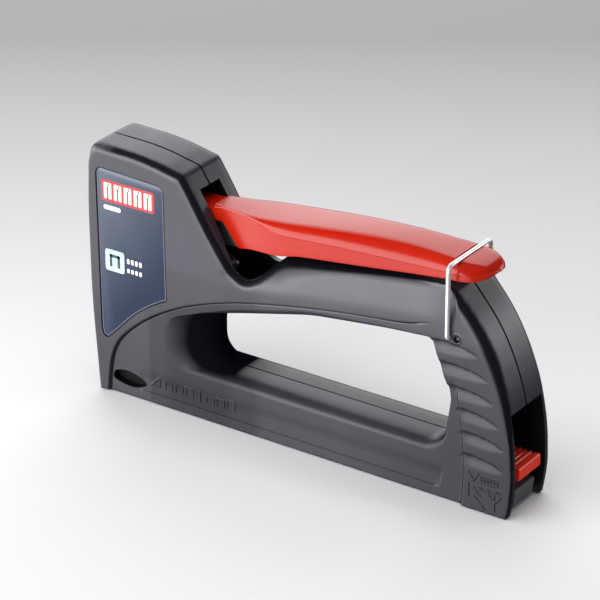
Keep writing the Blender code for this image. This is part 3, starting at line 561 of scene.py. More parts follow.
class Skin:
    """Points and faces of a growing mesh, in the part's millimetres."""

    def __init__(self, points, faces):
        self.points = [points]
        self.faces = list(faces)
        self.count = len(points)

    def ring(self, outline, y):
        level = np.broadcast_to(y, len(outline))
        self.points.append(np.stack([outline[:, 0], level, outline[:, 1]], axis=1))
        self.count += len(outline)
        return np.arange(self.count - len(outline), self.count)

    def wall(self, last, rings):
        """Joins each ring (outline, y) to the one before it, and returns the last one's points."""
        for outline, y in rings:
            ring = self.ring(outline, y)
            for k in range(len(ring)):
                j = (k + 1) % len(ring)
                self.faces.append((last[k], last[j], ring[j], ring[k]))
            last = ring
        return last


def casing_mesh(sheet, soft):
    """Points and faces of one solid casing half, on the side of positive y, in millimetres."""
    outlines, flat, triangles = sheet
    height = side_height(flat, outlines, soft)
    skin = Skin(np.stack([flat[:, 0], height, flat[:, 1]], axis=1), [tuple(t) for t in triangles])
    rim = len(outlines["casing"])
    hole_rim = rim + len(outlines["opening"])

    drop = height[:rim] - SEAM - SEAM_EDGE
    wall = [(rounded(shrunk(CASING, CROWN * share ** 2), 8, CASING_COUNTS), SEAM + SEAM_EDGE + drop * share)
            for share in (1.0 - k / 6.0 for k in range(1, 7))]
    seam_border = rounded(shrunk(CASING, 0.22), 8, CASING_COUNTS)
    outer_seam = skin.wall(np.arange(rim), wall + [(seam_border, SEAM)])

    drop = height[rim:hole_rim] - SEAM - HOLE_EDGE
    wall = [(opening_ring(t), SEAM + HOLE_EDGE + drop * t)
            for t in (1.0 - (k / 30.0) ** 1.9 for k in range(1, 31))]
    seam_hole = offset_line(opening_ring(0.0), -HOLE_EDGE)
    inner_seam = skin.wall(np.arange(rim, hole_rim), wall + [(seam_hole, SEAM)])

    _, cap = triangulate([seam_border, seam_hole], [], [seam_hole])
    seam_index = np.concatenate([outer_seam, inner_seam])
    skin.faces += [tuple(seam_index[t]) for t in cap]
    return np.vstack(skin.points), skin.faces


def place_mesh(name, points, faces, side):
    """The casing half as an object, mirrored to its side."""
    world = np.stack([(points[:, 0] - NOSE), points[:, 1] * side, points[:, 2]], axis=1) * MM
    mesh = bpy.data.meshes.new(name)
    mesh.from_pydata(world.tolist(), [], faces)
    bm = bmesh.new()
    bm.from_mesh(mesh)
    loose = [v for v in bm.verts if not v.link_faces]
    bmesh.ops.delete(bm, geom=loose, context="VERTS")
    bpy.data.meshes.remove(mesh)
    return new_object(name, bm, "casing")


# ---------------------------------------------------------------- casing: what is cut from it

def along(side, outline, y0, y1):
    return [(side * y0, outline), (side * y1, outline)]


def cavity(side):
    """The hollow of the head, the handle and the rear column, clear of the hand opening."""
    corners = [
        (1.2, 14.35, 0.0), (166.3, 14.35, 1.0), (166.4, 26.0, 30.0), (164.2, 41.0, 30.0), (158.7, 55.0, 30.0),
        (150.6, 66.8, 4.0), (141.0, 64.6, 10.0), (110.0, 61.3, 60.0), (74.0, 56.2, 6.0), (65.5, 54.6, 8.0),
        (54.2, 59.4, 5.0), (46.2, 71.2, 40.0), (35.2, 88.8, 3.0), (20.0, 92.0, 30.0), (-0.5, 92.6, 2.0),
        (-1.3, 66.0, 40.0), (-0.9, 35.0, 30.0),
    ]
    hollow = loft("cavity", along(side, rounded(corners, 3), -0.5, 9.4), material=1)
    keep = [(-side, offset_line(opening_ring(0.0), -2.2))]
    keep += [(side * 12.0 * t, offset_line(opening_ring(t), -2.2)) for t in (0.3, 0.6, 0.8, 0.9)]
    return carve(hollow, loft("keep", keep, material=1))


def magazine_space(side):
    pieces = [box("way", 0.02, 152.0, *sorted((-0.6 * side, 7.12 * side)), -1.0, 13.05, 1)]
    blocks = [
        (10.0, 152.1, 3.3, 12.0, 17.35), (3.1, 150.6, 9.0, 12.15, 13.75), (0.01, 3.3, 7.62, -1.1, 31.2),
    ]
    pieces += [box("block", x0, x1, *sorted((-0.7 * side, y * side)), z0, z1, 1)
               for x0, x1, y, z0, z1 in blocks]
    port = rounded([(149.55, -1.2, 0.0), (175.0, -1.2, 0.0), (175.0, 38.0, 0.0), (155.0, 38.0, 3.0),
                    (149.55, 20.0, 8.0)], 4)
    pieces.append(loft("port", along(side, port, -0.8, 9.7), material=1))
    return join_cutters("magazine_space", pieces)


def lever_slot(side):
    """The slot in the sloping back of the head, which widens into a pocket at the saddle."""
    sections = []
    for x in np.linspace(37.4, 68.0, 18):
        half = 5.7 + 3.3 * float(smooth(46.5, 58.0, x)) - 2.4 * float(smooth(62.0, 68.0, x))
        low = 67.0 - 11.8 * float(smooth(38.0, 62.0, x))
        sections.append((x, rectangle(*sorted((-0.9 * side, half * side)), low, 85.4)))
    return loft("lever_slot", sections, at, material=1)


def casing_half(side, name, node, points, faces):
    # the cut faces take the second material, near black as painted shade
    half = paint(place_mesh(name, points, faces, side), casing_plastic(), inner_painted_shade_plastic())
    for cutter in (cavity(side), magazine_space(side), lever_slot(side)):
        carve(half, cutter)
    carve(half, loft("window", along(side, rounded(WINDOW, 4), 8.0, 13.0), material=1))
    wire_hole = [(side * 8.6, WIRE_RADIUS + 0.3), (side * 13.0, WIRE_RADIUS + 0.3)]
    carve(half, turned("wire_hole", *BAIL_PIVOT, wire_hole))
    if side > 0:
        for x, z in SCREWS:
            carve(half, turned("screw_hole", x, z, [(9.2, 3.0), (13.0, 3.0)], 32))
    shade(half, 34.0)
    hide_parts(node)
    return half


# ---------------------------------------------------------------- materials

def mapped(nodes, links, value, low, high, to_low=0.0, to_high=1.0):
    """A value carried from one range to another, held at its ends."""
    stretch = nodes.new("ShaderNodeMapRange")
    for name, number in (("From Min", low), ("From Max", high), ("To Min", to_low), ("To Max", to_high)):
        stretch.inputs[name].default_value = number
    links.new(value, stretch.inputs["Value"])
    return stretch.outputs["Result"]


def combined(nodes, links, operation, one, other):
    """Two values, or a value and a number, through one operation."""
    step = nodes.new("ShaderNodeMath")
    step.operation = operation
    links.new(one, step.inputs[0])
    if isinstance(other, float):
        step.inputs[1].default_value = other
    else:
        links.new(other, step.inputs[1])
    return step.outputs[0]


def split_vector(nodes, links, vector):
    parts = nodes.new("ShaderNodeSeparateXYZ")
    links.new(vector, parts.inputs[0])
    return parts.outputs


def noise(nodes, links, scale, detail=2.0, stretch=(1.0, 1.0, 1.0)):
    """Noise in the part's own coordinates; scale counts features in a metre."""
    place = nodes.new("ShaderNodeTexCoord")
    mapping = nodes.new("ShaderNodeMapping")
    mapping.inputs["Scale"].default_value = stretch
    links.new(place.outputs["Object"], mapping.inputs["Vector"])
    texture = nodes.new("ShaderNodeTexNoise")
    texture.inputs["Scale"].default_value = scale
    texture.inputs["Detail"].default_value = detail
    links.new(mapping.outputs["Vector"], texture.inputs["Vector"])
    return texture.outputs["Fac"]


def mixed(nodes, links, factor, one, other):
    """A colour between two, each a colour or a node's output."""
    mix = nodes.new("ShaderNodeMix")
    mix.data_type = "RGBA"
    links.new(factor, mix.inputs[0])
    for slot, colour in ((mix.inputs[6], one), (mix.inputs[7], other)):
        if isinstance(colour, tuple):
            slot.default_value = (*colour, 1.0)
        else:
            links.new(colour, slot)
    return mix.outputs[2]


def finish_material(name, colour, worn, roughness, spread, grain, depth, metallic=0.0, coat=0.0,
                    stretch=(1.0, 1.0, 1.0), wear=0.0, edge_colour=None, specular=0.5):
    """A surface with cloudy colour, uneven gloss, a fine grain and paler worn edges."""
    if name in bpy.data.materials:
        return bpy.data.materials[name]
    material = bpy.data.materials.new(name)
    material.use_nodes = True
    nodes, links = material.node_tree.nodes, material.node_tree.links
    shader = nodes["Principled BSDF"]
    clouds = mapped(nodes, links, noise(nodes, links, 45.0, 3.0), 0.35, 0.65)
    tint = mixed(nodes, links, clouds, colour, worn)
    if wear > 0.0:
        geometry = nodes.new("ShaderNodeNewGeometry")
        edge = mapped(nodes, links, geometry.outputs["Pointiness"], 0.53, 0.62)
        tint = mixed(nodes, links, combined(nodes, links, "MULTIPLY", edge, wear), tint, edge_colour)
    links.new(tint, shader.inputs["Base Color"])
    fine = noise(nodes, links, grain, 2.0, stretch)
    gloss = mapped(nodes, links, noise(nodes, links, 160.0, 4.0, stretch), 0.0, 1.0,
                   roughness - spread, roughness + spread)
    links.new(gloss, shader.inputs["Roughness"])
    bump = nodes.new("ShaderNodeBump")
    bump.inputs["Strength"].default_value = 1.0
    bump.inputs["Distance"].default_value = depth * MM
    links.new(fine, bump.inputs["Height"])
    links.new(bump.outputs["Normal"], shader.inputs["Normal"])
    shader.inputs["Metallic"].default_value = metallic
    shader.inputs["Specular IOR Level"].default_value = specular
    shader.inputs["Coat Weight"].default_value = coat
    shader.inputs["Coat Roughness"].default_value = 0.08
    return material


# painted shade on the casing's plastic: its darkest level, the painted shadow under the lever, and its colour
PAINTED_SHADE_DARKEST = 0.12  # level of the darkest strips
# the strip of painted shadow under the lever, in millimetres
STRIP_TOP = (67.8, 80.3)  # about the height of the lever's edge at the saddle and at the handle's rear
# the strip's width counts z and y as they are foreshortened from the photo's angle
STRIP_DOWN = 0.9  # about the cosine of the camera's elevation
STRIP_OUT = 0.363  # the sine of its elevation times the cosine of its azimuth
STRIP_START = 3.7  # where that count begins
STRIP_DARK, STRIP_FULL = 3.2, 9.5  # and where the strip starts and ends getting brighter
STRIP_TAPER = 3.0  # how many times thinner it is at the rear
PAINTED_SHADE_COLOUR = (0.004, 0.004, 0.006)  # where the level is 0
FULL_SPECULAR = 0.5  # where it is 1


class PaintedCasingShade:
    """Painted shade on the casing's plastic: how bright it is at each place, from 0 to 1, as value nodes of
    its material.

    The lower zone, the scoop ahead of the hand opening, the strip under the lever, the brow of the head and
    the rounded edges are darker than the faces, as they look in the photo. Ranges are in millimetres.
    """

    def __init__(self, nodes, links):
        self.nodes, self.links = nodes, links
        place = nodes.new("ShaderNodeTexCoord")
        self.x, y, self.z = split_vector(nodes, links, place.outputs["Object"])
        self.wide = self.join("ABSOLUTE", y, 0.0)

    def join(self, operation, one, other):
        return combined(self.nodes, self.links, operation, one, other)

    def ramp(self, value, low, high, to_low=0.0, to_high=1.0):
        return mapped(self.nodes, self.links, value, low, high, to_low, to_high)

    def along(self, low, high, to_low=0.0, to_high=1.0):
        """From one value to the other between two places on the part's x."""
        return self.ramp(self.x, (low - NOSE) * MM, (high - NOSE) * MM, to_low, to_high)

    def up(self, low, high, to_low=0.0, to_high=1.0):
        return self.ramp(self.z, low * MM, high * MM, to_low, to_high)

    def out(self, low, high, to_low=0.0, to_high=1.0):
        return self.ramp(self.wide, low * MM, high * MM, to_low, to_high)

    def outside(self, level, *limits):
        """The level, but 1 wherever one of the limits is."""
        for limit in limits:
            level = self.join("MAXIMUM", level, limit)
        return level

    # painted shade: darker towards the base and towards the rear
    def lower_zone(self):
        hind = self.outside(self.along(100.0, 146.0, 1.0, 0.74), self.up(46.0, 62.0))
        return self.join("MULTIPLY", self.up(12.0, 62.0, 0.72, 1.0), hind)

    # painted shade in the hollow scoop ahead of the hand opening
    def scoop(self):
        return self.outside(self.out(6.0, 12.6), self.up(45.0, 56.0), self.along(50.0, 70.0),
                            self.along(20.0, 27.0, 1.0, 0.0))

    def painted_lever_shadow(self):
        """Painted shadow: dark below the lever's edge, brighter downwards and outwards, and thinner at the
        rear.
        """
        lever_line = self.along(56.0, 142.0, STRIP_TOP[0] * MM, STRIP_TOP[1] * MM)
        below = self.join("MULTIPLY", self.join("SUBTRACT", lever_line, self.z), STRIP_DOWN)
        below = self.join("ADD", below, self.join("MULTIPLY", self.wide, STRIP_OUT))
        below = self.join("SUBTRACT", below, STRIP_START * MM)
        below = self.join("MULTIPLY", below, self.along(76.0, 105.0, 1.0, STRIP_TAPER))
        strip = self.ramp(below, STRIP_DARK * MM, STRIP_FULL * MM, PAINTED_SHADE_DARKEST, 1.0)
        return self.outside(strip, self.along(126.0, 138.0), self.along(52.0, 60.0, 1.0, 0.0))

    def head_slope(self):
        """How much painted shade darkens the sloping back of the head."""
        brow = self.join("MULTIPLY", self.along(27.0, 31.0, 0.0, 0.4), self.out(8.0, 12.0, 1.0, 0.0))
        return self.join("MULTIPLY", brow, self.along(52.0, 58.0, 1.0, 0.0))

    def rounded_edges(self):
        """1 on the faces and less on the rounded edges of the head, the handle's back and the rear: painted
        shade.
        """
        geometry = self.nodes.new("ShaderNodeNewGeometry")
        _, sideways, upwards = split_vector(self.nodes, self.links, geometry.outputs["Normal"])
        sideways = self.join("ABSOLUTE", sideways, 0.0)
        faces = self.outside(self.ramp(sideways, 0.80, 0.93, PAINTED_SHADE_DARKEST, 1.0),
                             self.ramp(sideways, 0.10, 0.35, 1.0, PAINTED_SHADE_DARKEST))
        low = self.join("MINIMUM", self.up(50.0, 56.0, 1.0, 0.0), self.along(137.0, 143.0, 1.0, 0.0))
        return self.outside(faces, low, self.along(3.0, 9.0, 1.0, 0.0),
                            self.ramp(upwards, -0.3, -0.1, 1.0, 0.0))

    def level(self):
        level = self.join("MULTIPLY", self.lower_zone(), self.scoop())
        level = self.join("MULTIPLY", level, self.painted_lever_shadow())
        level = self.join("MAXIMUM", self.join("SUBTRACT", level, self.head_slope()), 0.0)
        return self.join("MULTIPLY", level, self.rounded_edges())


def with_painted_shade(material):
    """The casing's material with painted shade: its colour and gloss brought down by the painted shade's
    level.
    """
    nodes, links = material.node_tree.nodes, material.node_tree.links
    shader = nodes["Principled BSDF"]
    level = PaintedCasingShade(nodes, links).level()
    tint = shader.inputs["Base Color"].links[0].from_socket
    links.new(mixed(nodes, links, level, PAINTED_SHADE_COLOUR, tint), shader.inputs["Base Color"])
    links.new(combined(nodes, links, "MULTIPLY", level, FULL_SPECULAR), shader.inputs["Specular IOR Level"])
    return material


def casing_plastic():
    # the casing's plastic, darkened in places by painted shade
    if "moulded_plastic" in bpy.data.materials:
        return bpy.data.materials["moulded_plastic"]
    return with_painted_shade(finish_material("moulded_plastic", (0.038, 0.038, 0.049), (0.046, 0.046, 0.058), 0.34, 0.05,
                                  1900.0, 0.008, wear=0.30, edge_colour=(0.10, 0.10, 0.11)))


# near black: painted shade on the faces cut inside the casing, in its hollows, slot, window and holes
def inner_painted_shade_plastic():
    return finish_material("inner_painted_shade_plastic", (0.004, 0.004, 0.005), (0.006, 0.006, 0.007), 0.60, 0.05, 1500.0,
                           0.010, specular=0.12)


def red_plastic():
    return finish_material("red_plastic", (0.42, 0.009, 0.001), (0.45, 0.012, 0.002), 0.19, 0.03, 900.0,
                           0.002, wear=0.10, edge_colour=(0.65, 0.04, 0.02), specular=0.42)


# a brighter red than the lever's: painted light on the latch in the port's shade
def latch_red_painted_light():
    return finish_material("latch_red_painted_light", (0.74, 0.030, 0.012), (0.80, 0.040, 0.018), 0.30, 0.03, 900.0, 0.002,
                           wear=0.10, edge_colour=(0.80, 0.08, 0.05))


def black_plastic():
    return finish_material("black_plastic", (0.014, 0.014, 0.016), (0.020, 0.020, 0.022), 0.55, 0.06, 1500.0,
                           0.012, wear=0.2, edge_colour=(0.05, 0.05, 0.05))


# near black, darker than the black plastic: painted shade where the slide lies in the port
def slide_painted_shade():
    return finish_material("slide_plastic", (0.005, 0.005, 0.006), (0.008, 0.008, 0.009), 0.48, 0.05, 1500.0,
                           0.010, wear=0.2, edge_colour=(0.03, 0.03, 0.03), specular=0.15)


def rubber():
    return finish_material("buffer_rubber", (0.010, 0.010, 0.010), (0.018, 0.017, 0.016), 0.75, 0.08, 1200.0,
                           0.02)


def sheet_steel():
    return finish_material("sheet_steel", (0.52, 0.53, 0.54), (0.60, 0.60, 0.60), 0.30, 0.08, 1400.0, 0.003,
                           1.0, stretch=(0.08, 1.0, 1.0), wear=0.3, edge_colour=(0.8, 0.8, 0.8))


def hard_steel():
    return finish_material("hard_steel", (0.36, 0.36, 0.37), (0.46, 0.45, 0.44), 0.34, 0.08, 1700.0, 0.004,
                           1.0, wear=0.3, edge_colour=(0.7, 0.7, 0.7))


# near black: painted shade on the roller that shows in the pocket under the lever
def painted_shade_steel():
    return finish_material("painted_shade_steel", (0.020, 0.020, 0.022), (0.030, 0.030, 0.032), 0.45, 0.06, 1600.0,
                           0.003, specular=0.3)


def pin_steel():
    return finish_material("pin_steel", (0.62, 0.62, 0.63), (0.70, 0.70, 0.70), 0.22, 0.05, 1600.0, 0.002,
                           1.0, stretch=(1.0, 0.1, 1.0))


def screw_steel():
    return finish_material("screw_steel", (0.50, 0.50, 0.49), (0.60, 0.58, 0.52), 0.28, 0.06, 1500.0, 0.003,
                           1.0, wear=0.3, edge_colour=(0.8, 0.8, 0.78))


def spring_steel():
    return finish_material("spring_steel", (0.44, 0.43, 0.42), (0.52, 0.50, 0.48), 0.26, 0.06, 1800.0, 0.003,
                           1.0)


def bright_wire():
    return finish_material("bright_wire", (0.88, 0.88, 0.88), (0.92, 0.92, 0.92), 0.30, 0.04, 1500.0, 0.0012,
                           0.6, stretch=(1.0, 1.0, 0.15))


def staple_wire():
    return finish_material("staple_wire", (0.62, 0.61, 0.58), (0.74, 0.73, 0.70), 0.30, 0.06, 1900.0, 0.01,
                           1.0, stretch=(1.0, 0.05, 0.05))


def film():
    return finish_material("label_film", (0.026, 0.029, 0.040), (0.031, 0.035, 0.048), 0.24, 0.03, 700.0,
                           0.002, coat=0.2)


def ink(name, colour):
    return finish_material(name, colour, tuple(c * 0.93 for c in colour), 0.28, 0.04, 900.0, 0.002, coat=0.2)


def paint(obj, *materials):
    if obj.data.materials:  # clearing an empty list would reset the faces' material indices
        obj.data.materials.clear()
    for material in materials:
        obj.data.materials.append(material)
    return obj


# ---------------------------------------------------------------- lever

def lever_half_width(x):
    return 5.2 + 5.6 * float(smooth(46.0, 80.0, x)) - 0.6 * float(smooth(105.0, 140.0, x))


def lever_end(x):
    return min(max((x - 145.5) / 10.8, 0.0), 1.0)


BACK_FALL = 0.12  # how much the nearly flat back falls towards the shoulder
SHOULDER_END = 42.0  # degrees of slope at which the shoulder's curve ends in an edge
CREASE = 0.38  # from the facet's lower edge down to the skirt
LEVER_ARCH = np.polyfit(
    [46.0, 54.0, 64.0, 74.0, 89.0, 102.0, 113.0, 124.0, 134.0, 144.0, 150.0, 156.0],
    [81.0, 81.7, 82.0, 83.0, 85.2, 86.5, 87.4, 87.9, 87.9, 87.5, 87.0, 86.2], 5)


def lever_top(x):
    """The arch along the middle of the back, rounded down at the rear end."""
    return float(np.polyval(LEVER_ARCH, x)) - 2.4 * lever_end(x) ** 5


def lever_edge(x):
    """Height of the line between the shoulder and the facet below it."""
    line = np.interp(x, [45.0, 48.6, 57.6, 66.0, 74.0, 84.0, 99.7, 120.3, 141.0, 150.0, 156.0],
                     [80.1, 80.7, 81.6, 81.5, 81.2, 81.7, 83.0, 84.0, 84.8, 83.8, 82.6])
    return float(line)


def lever_bottom(x):
    """Edge of the skirt: it drops from the slot to the saddle, bulges a little and rises to the rear."""
    if x < 56.4:
        return 79.4 - (x - 45.8) * 1.094
    low = np.interp(x, [56.4, 63.0, 84.0, 123.7, 141.7, 150.0, 160.0],
                    [67.8, 69.6, 73.6, 78.6, 80.7, 81.3, 82.0])
    bulge = 0.55 * math.exp(-((x - 75.0) / 6.5) ** 2)
    return float(low) - bulge + 1.8 * lever_end(x) ** 5


def lever_section(x):
    """Right half of the section, from the middle of the top round to the bottom: a soft shoulder, a
    facet, and the skirt set in below it."""
    end = lever_end(x)
    width = lever_half_width(x) * math.sqrt(max(1.0 - end ** 2.2, 0.0)) + 0.02
    top, low = lever_top(x), lever_bottom(x)
    share = float(smooth(64.0, 76.0, x)) * (1.0 - float(smooth(143.0, 147.5, x)))
    facet_drop = 0.25 + 1.1 * share
    facet_out = 0.43 * facet_drop
    drop = max(top - lever_edge(x), 0.3)
    inset = 0.30 * share
    room = max(top - low, 0.05)
    scale = min(1.0, 0.72 * room / (drop + facet_drop + 0.4))
    drop, facet_drop = drop * scale, facet_drop * scale
    across = min(drop + 0.9, width * 0.75)
    shoulder = width - facet_out * scale
    points = [(0.0, top)]
    for k in range(1, 5):
        y = (shoulder - across) * k / 4.0
        points.append((y, top - BACK_FALL * (k / 4.0) ** 2))
    for k in range(1, 11):
        a = math.radians(90.0 - (90.0 - SHOULDER_END) * k / 10.0)
        s = (1.0 - math.sin(a)) / (1.0 - math.sin(math.radians(SHOULDER_END)))
        c = math.cos(a) / math.cos(math.radians(SHOULDER_END))
        points.append((shoulder - across + across * c, top - BACK_FALL - (drop - BACK_FALL) * s))
    edge = top - drop - facet_drop
    points.append((width, edge))
    points.append((width, edge - 0.12 * scale))
    skirt = edge - CREASE * scale
    points.append((width - inset, skirt))
    for k in range(1, 5):
        points.append((width - inset * (1.0 - 0.4 * k / 4.0), skirt + (low + 0.35 * scale - skirt) * k / 4.0))
    bottom_out = min(0.35, 0.3 * width)
    points.append((width - 0.6 * inset - 0.12 * bottom_out, low + 0.12 * scale))
    points.append((width - 0.6 * inset - bottom_out, low))
    return points


def mirrored(half):
    """A closed section from its right half, whose first point lies on the middle line."""
    left = [(-y, z) for y, z in reversed(half[1:])]
    return half + left


def lever_stations():
    front = list(np.linspace(45.8, 77.0, 32))
    middle = list(np.linspace(80.0, 141.0, 22))
    groove = [142.4, 143.6, 145.0, 146.0, 147.0, 148.0, 149.0, 150.0]
    turns = (28, 33, 38, 43, 48, 53, 58, 63, 68, 73, 78, 82, 86, 89)
    end = [145.5 + 11.4 * math.sin(math.radians(a)) for a in turns]
    return sorted(x for x in set(front + middle + groove + end))


def lever_hollow():
    """The space under the lever, between its side walls."""
    sections = []
    for x in list(np.linspace(50.0, 72.0, 10)) + [84.0, 98.0, 110.0, 128.0, 144.0, 148.0, 150.6]:
        wall = 2.0 if x < 146.0 else 2.3
        width = (lever_half_width(x) - wall) * math.sqrt(max(1.0 - 1.3 * lever_end(x) ** 2, 0.0))
        low, top = lever_bottom(x) - 3.0, lever_top(x) - 2.4
        radius = min(3.2, width - 0.4)
        bend = [math.radians(a) for a in range(0, 91, 15)]
        half = [(0.0, top)]
        half += [(width - radius + radius * math.sin(a), top - radius + radius * math.cos(a)) for a in bend]
        half.append((width, low))
        sections.append((x, mirrored(half)))
    return loft("hollow", sections, at)


def lever_neck():
    px, pz = LEVER_PIVOT
    outline = rounded([(px - 6.2, pz - 6.2, 6.1), (px + 6.2, pz - 6.2, 5.0), (px + 9.0, 70.6, 6.0),
                       (46.0, 75.2, 6.0), (52.0, 75.6, 0.0), (52.0, 80.0, 0.0),
                       (px + 6.0, 79.15, 30.0), (px - 6.2, pz + 6.2, 6.1)], 8)
    return loft("neck", [(-5.2, offset_line(outline, 0.3)), (-4.9, outline), (4.9, outline),
                         (5.2, offset_line(outline, 0.3))])


def lever():
    sections = [(x, mirrored(lever_section(x))) for x in lever_stations()]
    body = loft("squeeze_lever", sections, at, "squeeze_lever")
    carve(body, lever_hollow())
    carve(body, lever_neck(), "UNION")
    px, pz = LEVER_PIVOT
    slot = [(px - 9.0, 60.0), (54.0, 60.0), (54.0, 77.6), (px - 9.0, 77.0)]
    carve(body, loft("neck_slot", along(1.0, slot, -2.9, 2.9)))
    carve(body, turned("bore", px, pz, [(-6.0, 2.5), (6.0, 2.5)], 32))
    rest = rounded([(143.2, 86.1, 0.7), (145.8, 86.1, 0.7), (146.6, 91.0, 0.0), (143.0, 91.0, 0.0)], 5)
    carve(body, loft("wire_rest", along(1.0, rest, -11.0, 11.0)))
    paint(body, red_plastic())
    shade(body, 15.0)
    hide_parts("lever")
    return body


# ---------------------------------------------------------------- wire, labels and springs

END_SHARE = 0.72  # a round bar's thickness at its ends
FILM_FRONT = 11.78  # y of the label's face
PRINT_LEVEL = 11.76  # the print starts just inside it


def tube(name, path, radius, sides, body):
    """A round bar along a path of points in metres, its ends a little thinner."""
    bm = bmesh.new()
    side = Vector((0.0, 0.0, 1.0))
    if abs((path[1] - path[0]).normalized().dot(side)) > 0.9:
        side = Vector((1.0, 0.0, 0.0))
    rings = []
    for i, point in enumerate(path):
        before = (point - path[i - 1]).normalized() if i else Vector()
        after = (path[i + 1] - point).normalized() if i + 1 < len(path) else Vector()
        ahead = (before + after).normalized()
        side = (side - ahead * side.dot(ahead)).normalized()
        up = ahead.cross(side)
        thick = radius * (END_SHARE if i in (0, len(path) - 1) else 1.0)
        turns = (2.0 * math.pi * k / sides for k in range(sides))
        rings.append([bm.verts.new(point + (side * math.cos(a) + up * math.sin(a)) * thick * MM)
                      for a in turns])
    for low, high in zip(rings, rings[1:]):
        for i in range(sides):
            j = (i + 1) % sides
            bm.faces.new((low[i], low[j], high[j], high[i]))
    bm.faces.new(rings[0])
    bm.faces.new(rings[-1])
    return new_object(name, bm, body)


def bail():
    """The bent wire of the lock."""
    x, z = BAIL_PIVOT
    half_width, rise, bend, foot_bend = 13.15, 25.85, 2.0, 1.0
    top = z + rise
    half = [(8.9, z), (9.2, z), (10.5, z), (half_width - foot_bend, z)]
    corners = [((half_width - foot_bend, z + foot_bend), foot_bend, -90.0),
               ((half_width - bend, top - bend), bend, 0.0)]
    for (cy, cz), radius, start in corners:
        for k in range(9):
            a = math.radians(start + 90.0 * k / 8.0)
            half.append((cy + radius * math.cos(a), cz + radius * math.sin(a)))
        if start < 0.0:
            leg = rise - bend - foot_bend
            half += [(half_width, z + foot_bend + leg * k / 12.0) for k in range(1, 12)]
    half += [(half_width - bend - k * (half_width - bend) / 8.0, top) for k in range(1, 8)]
    path = [at(x, y, h) for y, h in half] + [at(x, 0.0, top)] + [at(x, -y, h) for y, h in reversed(half)]
    path = [p for i, p in enumerate(path) if i == 0 or (p - path[i - 1]).length > 0.05 * MM]
    wire = shade(tube("wire_bail", path, WIRE_RADIUS, 20, "wire_lock"), 50.0)
    paint(wire, bright_wire())
    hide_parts("lock_bail")


def label(side, name, node):
    """Glossy film with a bevelled rim, a red block with white arches, a pale square and small bars."""
    outline = rounded(LABEL, 8)
    sections = [(11.3, outline), (11.68, outline), (FILM_FRONT, offset_line(outline, 0.12))]
    piece = loft(name, [(side * y, ring) for y, ring in sections], on_y, "casing")
    paint(piece, film())
    shade(piece, 60.0)
    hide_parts(node)

    bm = bmesh.new()

    def patch(points, depth, material):
        add_loft(bm, [(side * PRINT_LEVEL, points), (side * (FILM_FRONT + depth), points)], on_y, material)

    def bar(x0, x1, z0, z1, depth, material, radius=0.4):
        corners = [(x, z, radius) for x, z in rectangle(x0, x1, z0, z1)]
        patch(rounded(corners, 4), depth, material)

    # a paler ring just inside the rim: a painted highlight
    rings = [offset_line(outline, inset) for inset in (0.28, 0.55)]
    for k in range(len(outline)):
        j = (k + 1) % len(outline)
        patch([rings[0][k], rings[0][j], rings[1][j], rings[1][k]], 0.01, 4)
    bar(2.6, 25.0, 74.4, 82.3, 0.02, 1, 0.8)
    for k in range(5):
        x = 3.5 + 4.3 * k
        bar(x, x + 1.3, 75.3, 81.4, 0.04, 0)
        bar(x + 2.0, x + 3.3, 75.3, 81.4, 0.04, 0)
        bar(x + 1.0, x + 2.4, 80.1, 81.4, 0.04, 0)
    bar(3.2, 10.6, 71.2, 72.9, 0.02, 0, 0.8)
    bar(3.4, 11.6, 47.9, 56.1, 0.02, 2, 1.0)
    bar(5.2, 6.4, 49.5, 54.4, 0.04, 3)
    bar(8.6, 9.8, 49.5, 54.4, 0.04, 3)
    bar(5.2, 9.8, 53.2, 54.4, 0.04, 3)
    for k in range(4):
        bar(12.8 + 1.75 * k, 13.9 + 1.75 * k, 52.4, 54.4, 0.02, 0)
        bar(12.8 + 1.75 * k, 13.9 + 1.75 * k, 48.9, 50.6, 0.02, 0)
    print_layer = new_object(name + "_print", bm, "casing")
    paint(print_layer, ink("ink_white", (0.86, 0.86, 0.85)), ink("ink_red", (0.62, 0.02, 0.02)),
          ink("ink_pale_blue", (0.55, 0.80, 0.86)), ink("ink_dark", (0.02, 0.06, 0.10)),
          ink("painted_rim_highlight", (0.11, 0.12, 0.16)))


def coil(name, node, body, centre, axis, side, radius, wire, length, turns):
    """A compression spring with closed ends, where its CAD stand-in is."""
    up = axis.cross(side)
    steps = 20
    count = int((turns + 2.0) * steps)
    path = []
    for k in range(count + 1):
        a = 2.0 * math.pi * k / steps
        share = float(smooth(0.0, 1.0, k / count))
        travel = 0.35 * share + 0.65 * min(max((k / steps - 0.8) / (turns + 0.4), 0.0), 1.0)
        around = side * math.cos(a) + up * math.sin(a)
        path.append(centre + around * radius * MM + axis * length * MM * travel)
    spring = shade(tube(name, path, wire, 10, body), 50.0)
    paint(spring, spring_steel())
    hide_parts(node)
    return spring


def springs():
    """The main spring, and the feed and latch springs, which get meshes of their own."""
    along_x, along_y, along_z = Vector((1.0, 0.0, 0.0)), Vector((0.0, 1.0, 0.0)), Vector((0.0, 0.0, 1.0))
    coil("striker_spring", "main_spring", "casing", at(7.4, 0.0, 73.4), along_z, along_x,
         4.2, 0.8, 15.9, 6.5)
    feed = coil("feed_spring", "pusher_spring", "pusher_slide", at(65.5, 0.0, 15.2), along_x,
                along_y, 1.85, 0.25, 83.4, 24.0)
    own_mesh(feed)
    press = coil("latch_coil", "latch_spring", "pusher_slide", at(162.5, 0.0, 8.85), along_z,
                 along_x, 2.0, 0.25, 3.35, 2.6)
    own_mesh(press)


# ---------------------------------------------------------------- carried-over pieces

